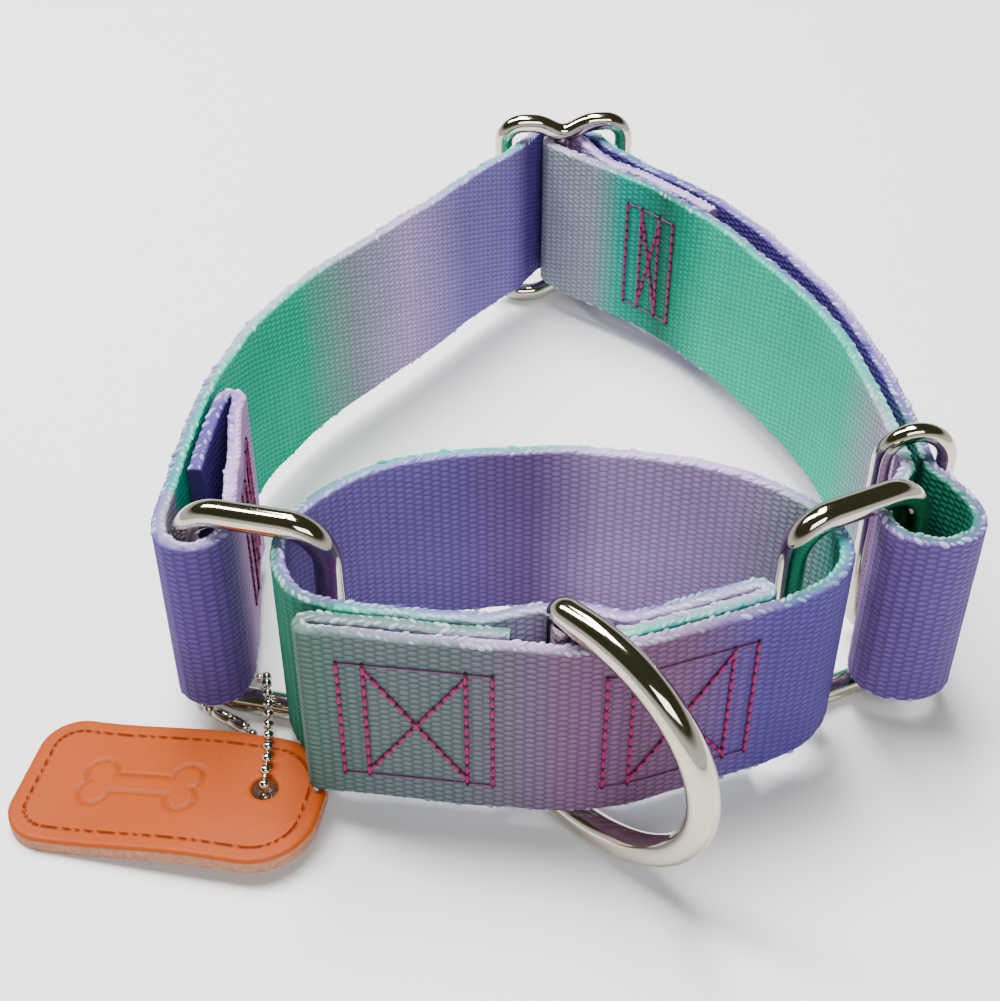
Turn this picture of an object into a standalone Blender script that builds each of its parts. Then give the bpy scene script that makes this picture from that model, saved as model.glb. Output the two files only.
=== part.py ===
"""Adjustable martingale dog collar standing on the edge of its webbing.

A long neck strap runs from a three-bar slide, through a round-bar ring, back to the slide and on to a
second ring. A short control loop joins the two rings and holds the leash D-ring. A bead chain on the
left ring carries a leather tag. Plan sizes and places are in millimetres, and one function turns them
into metres. X is the width, +Y the back of the collar, +Z up. The origin is the middle of the footprint.
"""
import math

import bmesh
import bpy
from mathutils import Matrix, Vector

MM = 0.001
GAP = 0.3                     # clearance that touching pieces keep
SEWN_GAP = 0.3                # between sewn layers
CHORD = 0.04                  # how far a flat facet may stand off a curve

# webbing
WEB_WIDTH = 38.0
WEB_THICK = 2.6
D_WIRE = 5.5
WEB_BOTTOM = D_WIRE + 0.75    # the loop's edge rides above the D-ring's lower end
WEB_TOP = WEB_BOTTOM + WEB_WIDTH
PITCH = WEB_THICK + SEWN_GAP

# the two rectangular rings
RING_WIRE = 5.0
RING_SPAN = 25.5              # between the axes of its two upright bars
RING_HEIGHT = WEB_TOP + RING_WIRE + 0.75
RING_CORNER = 7.0
LEFT_RING_AT = (-52.8, -49.4)     # axis of the outer upright bar
LEFT_RING_TURN = -13.2
RIGHT_RING_AT = (73.2, -43.1)
RIGHT_RING_TURN = 205.8

# leash D-ring
D_HEIGHT = WEB_TOP + WEB_BOTTOM
D_REACH = 30.5                # from the straight bar's axis to the bow's axis
D_SHOULDER = 4.9
FRONT_CROWN = (10.7, -79.3)   # foremost point of the control loop, in front of the D-ring's bar
D_AT = (FRONT_CROWN[0], FRONT_CROWN[1] + (WEB_THICK + D_WIRE) / 2 + 0.55)
D_TURN = -44.7

# three-bar slide
SLIDE_WIRE = 4.2
SLIDE_BAR = 4.0
SLIDE_SPAN = 28.2             # between the axes of the two outer bars
SLIDE_HEIGHT = WEB_TOP + WEB_BOTTOM
SLIDE_CORNER = 4.5
SLIDE_DIP = WEB_BOTTOM - SLIDE_WIRE + 0.55  # how far the rails drop at the centre bar
SLIDE_AT = (16.0, 89.5)
SLIDE_TURN = 4.0

# keeper
KEEPER_WIRE = 3.6
KEEPER_OPENING = 2 * WEB_THICK + 3.0
KEEPER_HEIGHT = WEB_TOP + KEEPER_WIRE + 2.9
KEEPER_AT = (75.0, -30.5)

# tag and chain
TAG_LENGTH = 54.0
TAG_WIDTH = 27.5
TAG_THICK = 3.2
TAG_LIFT = 2.6                # the hole end curls up over the chain
TAG_LEFT_RADIUS = 7.5
TAG_RIGHT_RADIUS = 11.0
TAG_TURN = -10.5
TAG_HOLE = 4.8
TAG_HOLE_PLACE = (-39.6, -74.9)
TAG_HOLE_AT = TAG_LENGTH / 2 - 10.6  # along the tag from its middle
TAG_HOLE_SIDE = 2.0           # and off its long axis
TAG_LIFT_START = TAG_HOLE_AT - 36.4
TAG_LIFT_END = TAG_HOLE_AT - 6.4
TAG_BANDS = [TAG_LIFT_START + step for step in (0.0, 7.5, 15.0, 22.5, 30.0)]
BEAD = 2.0
BEAD_PITCH = 2.7
LINK_WIRE = 0.8
CONNECTOR = 2.8

# stitching
THREAD = 0.4                  # how far a row of stitches stands proud
ROW_WIDTH = 0.9
BOX_HEIGHT = WEB_WIDTH - 12.0
ROW_STEP = 4.25                # between the double rows at a box's ends


# ---------------------------------------------------------------- plan curves
def spline(points, step=0.5):
    """Centripetal curve through plan points, sampled about every `step`."""
    pts = [Vector(p) for p in points]
    pts = [2 * pts[0] - pts[1]] + pts + [2 * pts[-1] - pts[-2]]
    out = []
    for p0, p1, p2, p3 in zip(pts, pts[1:], pts[2:], pts[3:]):
        t1 = (p1 - p0).length ** 0.5
        t2 = t1 + (p2 - p1).length ** 0.5
        t3 = t2 + (p3 - p2).length ** 0.5
        count = max(2, round((p2 - p1).length / step))
        for i in range(count):
            t = t1 + (t2 - t1) * i / count
            a1 = p0.lerp(p1, t / t1)
            a2 = p1.lerp(p2, (t - t1) / (t2 - t1))
            a3 = p2.lerp(p3, (t - t2) / (t3 - t2))
            b1 = a1.lerp(a2, t / t2)
            b2 = a2.lerp(a3, (t - t1) / (t3 - t1))
            out.append(b1.lerp(b2, (t - t1) / (t2 - t1)))
    out.append(pts[-2])
    return out


def lengths(path):
    """Distance along the path at each of its points."""
    out = [0.0]
    for a, b in zip(path, path[1:]):
        out.append(out[-1] + (b - a).length)
    return out


def point_at(path, s):
    """Point and unit direction of the path at distance s, straight on past its ends."""
    total = lengths(path)
    i = 0
    while i < len(path) - 2 and total[i + 1] < s:
        i += 1
    direction = (path[i + 1] - path[i]).normalized()
    return path[i] + direction * (s - total[i]), direction


def cut(path, start, end):
    """The stretch of the path from distance start to distance end."""
    total = lengths(path)
    inner = [p for p, s in zip(path, total) if start + 0.05 < s < end - 0.05]
    return [point_at(path, start)[0]] + inner + [point_at(path, end)[0]]


def beside(path, distance):
    """A curve beside the path, on its left; distance is a number or a function of arc length."""
    total = lengths(path)
    out = []
    for i, (p, s) in enumerate(zip(path, total)):
        ahead = path[min(i + 1, len(path) - 1)]
        behind = path[max(i - 1, 0)]
        along = (ahead - behind).normalized()
        d = distance(s) if callable(distance) else distance
        out.append(p + Vector((-along.y, along.x)) * d)
    return out


def half_turn(a, b, bulge, steps=8):
    """Half circle from a to b, standing out towards the direction bulge."""
    centre = (a + b) / 2
    radius = (a - b).length / 2
    arm = (a - centre).normalized()
    out = []
    for i in range(1, steps):
        angle = math.pi * i / steps
        out.append(centre + radius * (math.cos(angle) * arm + math.sin(angle) * bulge))
    return out


def thinned(path, tolerance=CHORD):
    """The fewest points of the path that stay within the tolerance of it."""
    keep = {0, len(path) - 1}
    spans = [(0, len(path) - 1)]
    while spans:
        a, b = spans.pop()
        chord = path[b] - path[a]
        worst, index = tolerance, None
        for i in range(a + 1, b):
            off = path[i] - path[a]
            away = (off - chord * (off.dot(chord) / chord.length_squared)).length
            if away > worst:
                worst, index = away, i
        if index is not None:
            keep.add(index)
            spans += [(a, index), (index, b)]
    return [path[i] for i in sorted(keep)]


def ease(s, start, end):
    """0 before start, 1 after end, smooth between."""
    t = min(1.0, max(0.0, (s - start) / (end - start)))
    return t * t * (3 - 2 * t)


# ---------------------------------------------------------------- objects
def material(name, colour, roughness, metallic=0.0):
    mat = bpy.data.materials.get(name)
    if mat:
        return mat
    mat = bpy.data.materials.new(name)
    mat.use_nodes = True
    shader = mat.node_tree.nodes["Principled BSDF"]
    shader.inputs["Base Color"].default_value = (*colour, 1)
    shader.inputs["Roughness"].default_value = roughness
    shader.inputs["Metallic"].default_value = metallic
    return mat


def web_material():
    return material("dyed_webbing", (0.36, 0.32, 0.62), 0.8)


def thread_material():
    return material("magenta_thread", (0.48, 0.05, 0.23), 0.6)


def chrome_material():
    return material("chrome_plate", (0.8, 0.79, 0.75), 0.12, 1.0)


def leather_material():
    return material("orange_leather", (0.8, 0.16, 0.02), 0.55)


def add_object(name, verts, faces, mat, origin, smooth=False):
    """One object in metres from a mesh in millimetres, with its origin on its joint's axis."""
    base = Vector(origin)
    mesh = bpy.data.meshes.new(name)
    mesh.from_pydata([(Vector(v) - base) * MM for v in verts], [], faces)
    work = bmesh.new()
    work.from_mesh(mesh)
    bmesh.ops.recalc_face_normals(work, faces=work.faces)
    work.to_mesh(mesh)
    work.free()
    if smooth:
        mesh.shade_smooth()
        mesh.set_sharp_from_angle(angle=math.radians(50))
    mesh.materials.append(mat)
    obj = bpy.data.objects.new(name, mesh)
    obj.location = base * MM
    bpy.context.scene.collection.objects.link(obj)
    return obj


def ribbon(name, path, origin):
    """A strip of webbing on edge: the plan path thickened both ways and raised to the web's width."""
    path = thinned(path)
    left = beside(path, WEB_THICK / 2)
    right = beside(path, -WEB_THICK / 2)
    n = len(path)
    verts = [(p.x, p.y, z) for z in (WEB_BOTTOM, WEB_TOP) for side in (left, right) for p in side]
    faces = []
    for i in range(n - 1):
        j = i + 1
        faces += [(i, j, n + j, n + i), (2 * n + i, 3 * n + i, 3 * n + j, 2 * n + j)]
        faces += [(i, 2 * n + i, 2 * n + j, j), (n + i, n + j, 3 * n + j, 3 * n + i)]
    faces += [(0, n, 3 * n, 2 * n), (n - 1, 3 * n - 1, 4 * n - 1, 2 * n - 1)]
    return add_object(name, verts, faces, web_material(), (*origin, 0))


def sweep(points, radii, sides, closed):
    """Vertices and faces of a round bar whose radius may change along a 3-D path."""
    n = len(points)
    first = (points[1] - points[0]).normalized()
    normal = first.orthogonal().normalized()
    frames = []
    for i in range(n):
        ahead = points[(i + 1) % n] if closed or i < n - 1 else points[i]
        behind = points[i - 1] if closed or i else points[i]
        along = (ahead - behind).normalized()
        normal = (normal - along * normal.dot(along)).normalized()
        frames.append((along, normal))
    twist = 0.0
    if closed:
        along, start = frames[0]
        carried = (frames[-1][1] - along * frames[-1][1].dot(along)).normalized()
        twist = math.atan2(carried.cross(start).dot(along), carried.dot(start))
    verts = []
    for i, (along, normal) in enumerate(frames):
        turn = twist * i / n
        side = along.cross(normal)
        for k in range(sides):
            angle = 2 * math.pi * k / sides + turn
            verts.append(points[i] + radii[i] * (math.cos(angle) * normal + math.sin(angle) * side))
    faces = []
    for i in range(n if closed else n - 1):
        j = (i + 1) % n
        for k in range(sides):
            m = (k + 1) % sides
            faces.append((i * sides + k, i * sides + m, j * sides + m, j * sides + k))
    if not closed:
        faces += [tuple(range(sides)), tuple(range((n - 1) * sides, n * sides))]
    return verts, faces


def upright(outline, at, turn):
    """A closed outline of (reach, height) pairs, stood up at a plan point and turned about Z."""
    angle = math.radians(turn)
    out = []
    for reach, height in outline:
        out.append(Vector((at[0] + reach * math.cos(angle), at[1] + reach * math.sin(angle), height)))
    return out


def corner(centre, radius, start, end, steps=6):
    """Points of an arc in the (reach, height) plane; angles in degrees."""
    out = []
    for i in range(steps + 1):
        angle = math.radians(start + (end - start) * i / steps)
        out.append((centre[0] + radius * math.cos(angle), centre[1] + radius * math.sin(angle)))
    return out


def bar_ring(name, outline, at, turn, wire, sides=12):
    path = upright(outline, at, turn)
    verts, faces = sweep(path, [wire / 2] * len(path), sides, True)
    return add_object(name, verts, faces, chrome_material(), (*at, 0), smooth=True)


# ---------------------------------------------------------------- hardware
def rectangular_ring(name, at, turn):
    """Round-bar rectangle with wide corners; its outer upright bar is on the given axis."""
    low = RING_WIRE / 2 + RING_CORNER
    high = RING_HEIGHT - low
    near = RING_CORNER
    far = RING_SPAN - RING_CORNER
    outline = corner((far, high), RING_CORNER, 90, 0) + corner((far, low), RING_CORNER, 0, -90)
    outline += corner((near, low), RING_CORNER, 270, 180) + corner((near, high), RING_CORNER, 180, 90)
    return bar_ring(name, outline, at, turn, RING_WIRE)


def d_ring():
    """Straight bar in the pocket of the control loop, and a bow that reaches out of it."""
    half = (D_HEIGHT - D_WIRE) / 2
    middle = D_HEIGHT / 2
    bow = []
    for i in range(25):
        angle = math.radians(90 - 180 * i / 24)
        reach = D_SHOULDER + (D_REACH - D_SHOULDER) * math.cos(angle)
        bow.append((reach, middle + half * math.sin(angle)))
    nose = 0.8
    outline = [(nose, middle + half)] + bow + [(nose, middle - half), (0, middle - half + nose)]
    outline += [(0, middle), (0, middle + half - nose)]
    return bar_ring("d_ring", outline, D_AT, D_TURN, D_WIRE, 14)


def slide():
    """Three upright bars between two rails that dip at the centre bar."""
    half = SLIDE_SPAN / 2
    low = SLIDE_WIRE / 2
    high = SLIDE_HEIGHT - low
    inner = half - SLIDE_CORNER

    def rail(level, inward):
        out = []
        for i in range(15):
            reach = inner - 2 * inner * i / 14
            drop = SLIDE_DIP * math.cos(math.pi * reach / (2 * inner)) ** 4
            out.append((reach, level + inward * drop))
        return out

    outline = corner((inner, high - SLIDE_CORNER), SLIDE_CORNER, 0, 90, 4)[:-1]
    outline += rail(high, -1)
    outline += corner((-inner, high - SLIDE_CORNER), SLIDE_CORNER, 90, 180, 4)[1:]
    outline += corner((-inner, low + SLIDE_CORNER), SLIDE_CORNER, 180, 270, 4)[:-1]
    outline += list(reversed(rail(low, 1)))
    outline += corner((inner, low + SLIDE_CORNER), SLIDE_CORNER, 270, 360, 4)[1:]
    frame = bar_ring("slide", outline, SLIDE_AT, SLIDE_TURN, SLIDE_WIRE)
    ends = [Vector((*SLIDE_AT, low + SLIDE_DIP)), Vector((*SLIDE_AT, high - SLIDE_DIP))]
    verts, faces = sweep(ends, [SLIDE_BAR / 2] * 2, 12, False)
    bar = add_object("slide_centre_bar", verts, faces, chrome_material(), (*SLIDE_AT, 0))
    join_solids(frame, [bar])
    return frame


def keeper(turn):
    """Long round-ended ring round both layers of the right branch, square to the webbing."""
    radius = (KEEPER_OPENING + KEEPER_WIRE) / 2
    low = KEEPER_WIRE / 2 + radius
    outline = corner((0, KEEPER_HEIGHT - low), radius, 0, 180, 12) + corner((0, low), radius, 180, 360, 12)
    return bar_ring("keeper", outline, KEEPER_AT, turn, KEEPER_WIRE, 10)


def join_solids(target, tools):
    """Union the tools into the target's mesh and remove them."""
    for tool in tools:
        mod = target.modifiers.new("union", "BOOLEAN")
        mod.operation = "UNION"
        mod.object = tool
    bpy.context.view_layer.update()
    graph = bpy.context.evaluated_depsgraph_get()
    mesh = bpy.data.meshes.new_from_object(target.evaluated_get(graph))
    target.modifiers.clear()
    target.data = mesh
    for tool in tools:
        bpy.data.objects.remove(tool)


# ---------------------------------------------------------------- tag and chain
def tag_height(x):
    """Underside of the tag at a distance x along it: flat, then curled up over the chain."""
    return TAG_LIFT * ease(x, TAG_LIFT_START, TAG_LIFT_END)


def tag_place(x, y, z):
    turned = Matrix.Rotation(math.radians(TAG_TURN), 3, "Z") @ Vector((x - TAG_HOLE_AT, y - TAG_HOLE_SIDE, 0))
    return Vector((TAG_HOLE_PLACE[0] + turned.x, TAG_HOLE_PLACE[1] + turned.y, z + tag_height(x)))


def tag_outline():
    """Outline of the tag, counter-clockwise from the right."""
    half = TAG_LENGTH / 2
    side = TAG_WIDTH / 2
    big, small = TAG_RIGHT_RADIUS, TAG_LEFT_RADIUS
    out = corner((half - big, side - big), big, 0, 90, 7)
    out += [(x, side) for x in reversed(TAG_BANDS)]
    out += corner((small - half, side - small), small, 90, 180, 5)
    out += corner((small - half, small - side), small, 180, 270, 5)
    out += [(x, -side) for x in TAG_BANDS]
    out += corner((half - big, big - side), big, 270, 360, 7)
    return out


def leather_tag():
    """Leather plate with rounded corners and one hole, cut across into bands so that it can curl."""
    work = bmesh.new()
    rim = [work.verts.new((x, y, 0)) for x, y in tag_outline()]
    hole = [work.verts.new((x, y, 0)) for x, y in corner((TAG_HOLE_AT, TAG_HOLE_SIDE), TAG_HOLE / 2, 0, 337.5, 15)]
    edges = [work.edges.new((a, b)) for ring in (rim, hole) for a, b in zip(ring, ring[1:] + ring[:1])]
    bmesh.ops.triangle_fill(work, use_beauty=True, edges=edges)
    for x in TAG_BANDS:
        geometry = work.verts[:] + work.edges[:] + work.faces[:]
        bmesh.ops.bisect_plane(work, geom=geometry, plane_co=(x, 0, 0), plane_no=(1, 0, 0))
    bmesh.ops.remove_doubles(work, verts=work.verts, dist=0.01)
    top = bmesh.ops.extrude_face_region(work, geom=work.faces[:])
    for v in top["geom"]:
        if isinstance(v, bmesh.types.BMVert):
            v.co.z = TAG_THICK
    work.verts.index_update()
    verts = [tag_place(*v.co) for v in work.verts]
    faces = [tuple(v.index for v in f.verts) for f in work.faces]
    work.free()
    hole_at = tag_place(TAG_HOLE_AT, TAG_HOLE_SIDE, 0)
    return add_object("leather_tag", verts, faces, leather_material(), (hole_at.x, hole_at.y, 0))


OVER_TAG = TAG_LIFT + TAG_THICK + BEAD / 2 + 0.5
OVER_RING = RING_WIRE + BEAD / 2 + 0.7
CHAIN_ROUTE = [
    (-44.6, -57.8, 1.25), (-42.6, -61.0, 1.25), (-40.6, -65.5, 1.2), (-39.8, -69.5, 1.2), (-39.6, -72.6, 1.35),
    (-39.6, -75.0, 2.8), (-39.6, -75.3, 4.6), (-39.6, -74.6, OVER_TAG - 0.8), (-39.6, -72.4, OVER_TAG),
    (-39.6, -69.5, OVER_TAG), (-39.8, -66.0, OVER_TAG), (-40.3, -62.0, OVER_TAG - 0.1),
    (-40.7, -58.0, OVER_RING + 0.2), (-41.2, -54.4, OVER_RING), (-41.7, -51.6, OVER_RING),
    (-42.1, -48.8, OVER_RING - 0.8), (-42.8, -46.7, 3.9), (-44.2, -45.2, 2.0), (-46.8, -44.2, 1.25), (-50.2, -43.9, 1.25),
    (-53.6, -45.0, 1.25), (-55.4, -47.6, 1.25), (-54.6, -50.8, 1.25), (-52.1, -53.0, 1.25)]
CONNECTOR_HEIGHT = CONNECTOR / 2 + 0.1


def bead_chain(axis_point):
    """Row of beads on a fine link wire, as one turned profile along the route."""
    path = [Vector(p) for p in spline(CHAIN_ROUTE, 0.3)]
    total = lengths(path)[-1]
    beads = round((total - BEAD) / BEAD_PITCH)
    pitch = (total - BEAD) / beads
    profile = [(-0.5, 0.42), (-0.36, 0.75), (-0.13, 0.97), (0.13, 0.97), (0.36, 0.75), (0.5, 0.42)]
    points, radii = [], []
    for i in range(beads + 1):
        for offset, share in profile:
            place = BEAD / 2 + i * pitch + offset * BEAD * 0.96
            points.append(point_at(path, place)[0])
            radii.append(max(LINK_WIRE / 2, share * BEAD / 2))
    verts, faces = sweep(points, radii, 8, False)
    return add_object("bead_chain", verts, faces, chrome_material(), axis_point, smooth=True)


def chain_connector(axis_point):
    """Folded barrel that takes the chain's two end beads."""
    a = Vector(CHAIN_ROUTE[-1])
    b = Vector(CHAIN_ROUTE[0])
    a.z = b.z = CONNECTOR_HEIGHT
    along = (b - a).normalized()
    length = (b - a).length - 2 * GAP
    start = a + along * GAP
    stations = [(0.0, 0.55), (0.1, 0.9), (0.25, 1.0), (0.75, 1.0), (0.9, 0.9), (1.0, 0.55)]
    points = [start + along * (length * t) for t, _ in stations]
    verts, faces = sweep(points, [CONNECTOR / 2 * r for _, r in stations], 10, False)
    return add_object("chain_connector", verts, faces, chrome_material(), axis_point, smooth=True)


# ---------------------------------------------------------------- webbing paths
def slide_end_path():
    """The sewn end: tail, turn round the slide's centre bar, then the inner run to the right ring."""
    bar = Vector(SLIDE_AT)
    turn = SLIDE_BAR / 2 + GAP + WEB_THICK / 2
    inward = Vector((math.cos(math.radians(221)), math.sin(math.radians(221))))
    inner = spline([bar + inward * turn, (18.6, 81.7), (27.4, 74.2), (37.0, 65.0), (47.0, 52.2),
                    (55.0, 38.4), (61.9, 24.7), (66.6, 13.0), (69.3, 2.0), (71.1, -9.0),
                    (72.3, -21.0), (73.1, -32.0)])
    return inner, turn


def tail_offset(turn):
    """Distance from the inner run to the tail: the turn round the bar, closing to one layer."""
    return lambda s: PITCH + (2 * turn - PITCH) * (1 - ease(s, 0.0, 17.0))


def outer_offset(s):
    """Distance from the inner run to the outer run: over the tail, then easing to the keeper."""
    over_tail = 2 * PITCH + THREAD + GAP
    return over_tail + (WEB_THICK + 1.5 - over_tail) * ease(s, 52.0, 104.0)


TAIL_LENGTH = 46.0            # slide end, folded back between the layers
LEFT_PITCH = WEB_THICK + 0.8  # the left end is folded more loosely
LEFT_SEWN = 28.5              # length of the left end's folded stack
LEFT_FLARE = 3.2              # and its inner layer stands away towards the ring
RING_SNUG = (RING_WIRE + WEB_THICK) / 2 + GAP  # a ring bar's axis to the webbing round it


# how loosely the webbing goes round the slide, and where the left branch then folds away from it
LOOSE = (SLIDE_BAR / 2 + GAP + 1.5 * WEB_THICK + 0.8) / 7.0
NECK_CREASE = (SLIDE_AT[0] - 8.4 * LOOSE - 1.3, SLIDE_AT[1] + 0.5 * LOOSE - 2.4)
NECK_CREASE_AFTER = (NECK_CREASE[0] - 1.3, NECK_CREASE[1] - 2.6)


def neck_paths():
    """Plan paths of the neck strap, by node name, and the two stitched stretches."""
    inner, turn = slide_end_path()
    tail = beside(cut(inner, 0.0, TAIL_LENGTH), tail_offset(turn))
    bar = Vector(SLIDE_AT)
    wrap = []
    for i in range(1, 12):
        angle = math.radians(41 + 180 * i / 12)
        wrap.append(bar + turn * Vector((math.cos(angle), math.sin(angle))))
    loop_join = 22.0
    slide_loop = list(reversed(tail)) + wrap + cut(inner, 0.0, loop_join)[:-1]
    slide_loop.append(point_at(inner, loop_join - GAP)[0])
    inner_end = lengths(inner)[-1]
    keeper_end, keeper_way = point_at(inner, inner_end)
    outer_from_keeper = beside(inner, outer_offset)
    drop = outer_from_keeper[-1]
    ring_loop = spline([keeper_end, keeper_end + keeper_way * 2.0, (70.9, -37.4), (68.0, -42.4),
                        (66.8, -47.6), (68.4, -51.8), (73.0, -53.9), (78.5, -53.3), (82.1, -50.0),
                        (82.7, -45.0), (80.7, -39.5), drop + keeper_way * 2.0, drop])
    bridge_start = 21.0
    outer_cut = cut(outer_from_keeper, bridge_start, lengths(outer_from_keeper)[-1])
    over_bar = [bar + Vector(p) * LOOSE for p in ((8.4, 0.5), (5.0, 4.9), (0.0, 7.0), (-5.0, 5.2), (-8.4, 0.5))]
    bridge = spline([outer_cut[0], (27.2, 85.2)] + over_bar + [NECK_CREASE])
    outer_run = list(reversed(outer_cut))[:-1] + bridge
    left_run = spline([NECK_CREASE, NECK_CREASE_AFTER, (0.6, 80.0), (-7.6, 69.6), (-15.6, 58.6), (-25.6, 45.8),
                       (-32.6, 37.2), (-39.6, 27.6), (-45.5, 16.4), (-48.9, 9.1), (-51.7, -0.4),
                       (-54.2, -11.5), (LEFT_RING_AT[0] - RING_SNUG + 1.1, -27.0),
                       (LEFT_RING_AT[0] - RING_SNUG + 0.2, -41.0)])
    return inner, slide_loop, ring_loop, outer_run, left_run, keeper_way


def left_end_path(left_run):
    """Turn round the left ring's outer bar, inner layer, fold and tucked tail."""
    total = lengths(left_run)[-1]
    sewn = cut(left_run, total - LEFT_SEWN, total - 6.0)
    inner = beside(sewn, lambda s: LEFT_PITCH * 2 + LEFT_FLARE * ease(s, 0.0, LEFT_SEWN - 6.0))
    tail = beside(sewn, LEFT_PITCH)
    bar = Vector(LEFT_RING_AT)
    round_bar = [(-1.0, 0.0), (-0.61, -1.02), (0.34, -1.41), (1.29, -1.02), (1.73, 0.0), (1.76, 1.44)]
    wrap = spline([left_run[-1]] + [bar + Vector(p) * RING_SNUG for p in round_bar] + [inner[-1]])
    outward = (sewn[0] - sewn[1]).normalized()
    fold = half_turn(inner[0], tail[0], outward)
    return wrap[:-1] + list(reversed(inner)) + fold + tail[:-8]


INNER_START = 3.5             # the inner layer joins the stack this far from the left fold


def control_paths():
    """The control loop from its left fold round the rings: outer layer, bends, back, inner layer."""
    front = spline([(-29.5, -74.7), (-13.0, -76.7), (1.0, -78.5), FRONT_CROWN, (21.0, -78.1),
                    (33.0, -74.0), (46.0, -69.2)])
    length = lengths(front)[-1]
    swell = D_WIRE + 2 * GAP + WEB_THICK - 2 * PITCH
    crown = min(range(len(front)), key=lambda i: (front[i] - Vector(D_AT)).length)
    d_along = lengths(front)[crown]

    def inner_offset(s):
        near = ease(s, d_along - 14.0, d_along - 4.0) * (1 - ease(s, d_along + 4.0, d_along + 14.0))
        return 2 * PITCH + (swell + 0.5) * near

    left_tail = beside(cut(front, 0.0, 32.0), PITCH)
    left_fold = half_turn(left_tail[0], front[0], (front[0] - front[1]).normalized())
    outer = list(reversed(left_tail)) + left_fold + front
    inner = beside(cut(front, INNER_START, length - 1.5), lambda s: inner_offset(s + INNER_START))
    right_tail = beside(cut(front, d_along + 7.5, length - 1.5), PITCH)
    right_fold = half_turn(inner[-1], right_tail[-1], (inner[-1] - inner[-2]).normalized())
    round_trip = spline([front[-1], (54.6, -63.9), (58.7, -57.0), (57.5, -48.8), (52.0, -41.8),
                         (44.0, -36.0), (32.5, -32.0), (18.0, -29.6), (4.0, -29.1), (-11.0, -31.0),
                         (-24.5, -36.5), (-32.5, -44.5), (-35.7, -52.0), (-35.5, -59.5),
                         (-32.0, -66.3), inner[0]])
    inner_layer = inner + right_fold + list(reversed(right_tail))
    return front, inner, outer, round_trip, inner_layer


# ---------------------------------------------------------------- stitching
def box_stitch(name, face, start, end, outward, origin):
    """A box of stitch rows with a cross, flat on one face of the webbing.

    face is the plan path of the webbing's middle line, outward +1 for its left face, -1 for its right.
    """
    low = (WEB_BOTTOM + WEB_TOP - BOX_HEIGHT) / 2
    high = low + BOX_HEIGHT
    rows = [((start, low), (start, high)), ((end, low), (end, high)),
            ((start + ROW_STEP, low), (start + ROW_STEP, high)), ((end - ROW_STEP, low), (end - ROW_STEP, high)),
            ((start, low), (end, low)), ((start, high), (end, high)),
            ((start + ROW_STEP, low), (end - ROW_STEP, high)), ((start + ROW_STEP, high), (end - ROW_STEP, low))]
    bars = [flat_bar(f"{name}_{i}", Vector(a), Vector(b)) for i, (a, b) in enumerate(rows)]
    join_solids(bars[0], bars[1:])
    mesh = bars[0].data
    near = WEB_THICK / 2 + GAP
    verts = []
    for v in mesh.vertices:
        point, along = point_at(face, v.co.x)
        out = Vector((-along.y, along.x)) * outward * (near + v.co.z)
        verts.append((point.x + out.x, point.y + out.y, v.co.y))
    faces = [tuple(p.vertices) for p in mesh.polygons]
    bpy.data.objects.remove(bars[0])
    return add_object(name, verts, faces, thread_material(), (*origin, 0))


def flat_bar(name, a, b):
    """Bar of a stitch row in the (along, height) plane, in short steps so that it can bend."""
    along = (b - a).normalized()
    across = Vector((-along.y, along.x)) * ROW_WIDTH / 2
    a = a - along * ROW_WIDTH / 2
    b = b + along * ROW_WIDTH / 2
    steps = max(1, round(abs(b.x - a.x) / 5.0))
    verts, faces = [], []
    for i in range(steps + 1):
        p = a.lerp(b, i / steps)
        for side in (-1, 1):
            for level in (0.0, THREAD):
                q = p + across * side
                verts.append((q.x, q.y, level))
    for i in range(steps):
        k = 4 * i
        for m, n in ((0, 1), (1, 3), (3, 2), (2, 0)):
            faces.append((k + m, k + n, k + 4 + n, k + 4 + m))
    faces += [(0, 1, 3, 2), (4 * steps, 4 * steps + 1, 4 * steps + 3, 4 * steps + 2)]
    obj = add_object(name, verts, faces, thread_material(), (0, 0, 0))
    obj.data.transform(Matrix.Scale(1 / MM, 4))
    return obj


# ---------------------------------------------------------------- assembly
def control_loop():
    front, back, outer, round_trip, inner_layer = control_paths()
    total = lengths(round_trip)[-1]
    marks = [0.0, 58.0, total - 58.0, total]
    names = ("control_right_bend", "control_back_run", "control_left_bend")
    ribbon("control_outer_layer", outer, D_AT)
    for name, start, end in zip(names, marks, marks[1:]):
        ribbon(name, cut(round_trip, start + GAP, end - GAP / 2), D_AT)
    ribbon("control_inner_layer", cut(inner_layer, GAP, lengths(inner_layer)[-1]), D_AT)
    for side, start, end in (("left", 4.6, 29.7), ("right", 47.6, 73.4)):
        box_stitch(f"stitch_control_{side}_front", front, start, end, -1, D_AT)
        box_stitch(f"stitch_control_{side}_back", back, start - INNER_START, end - INNER_START, 1, D_AT)


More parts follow.
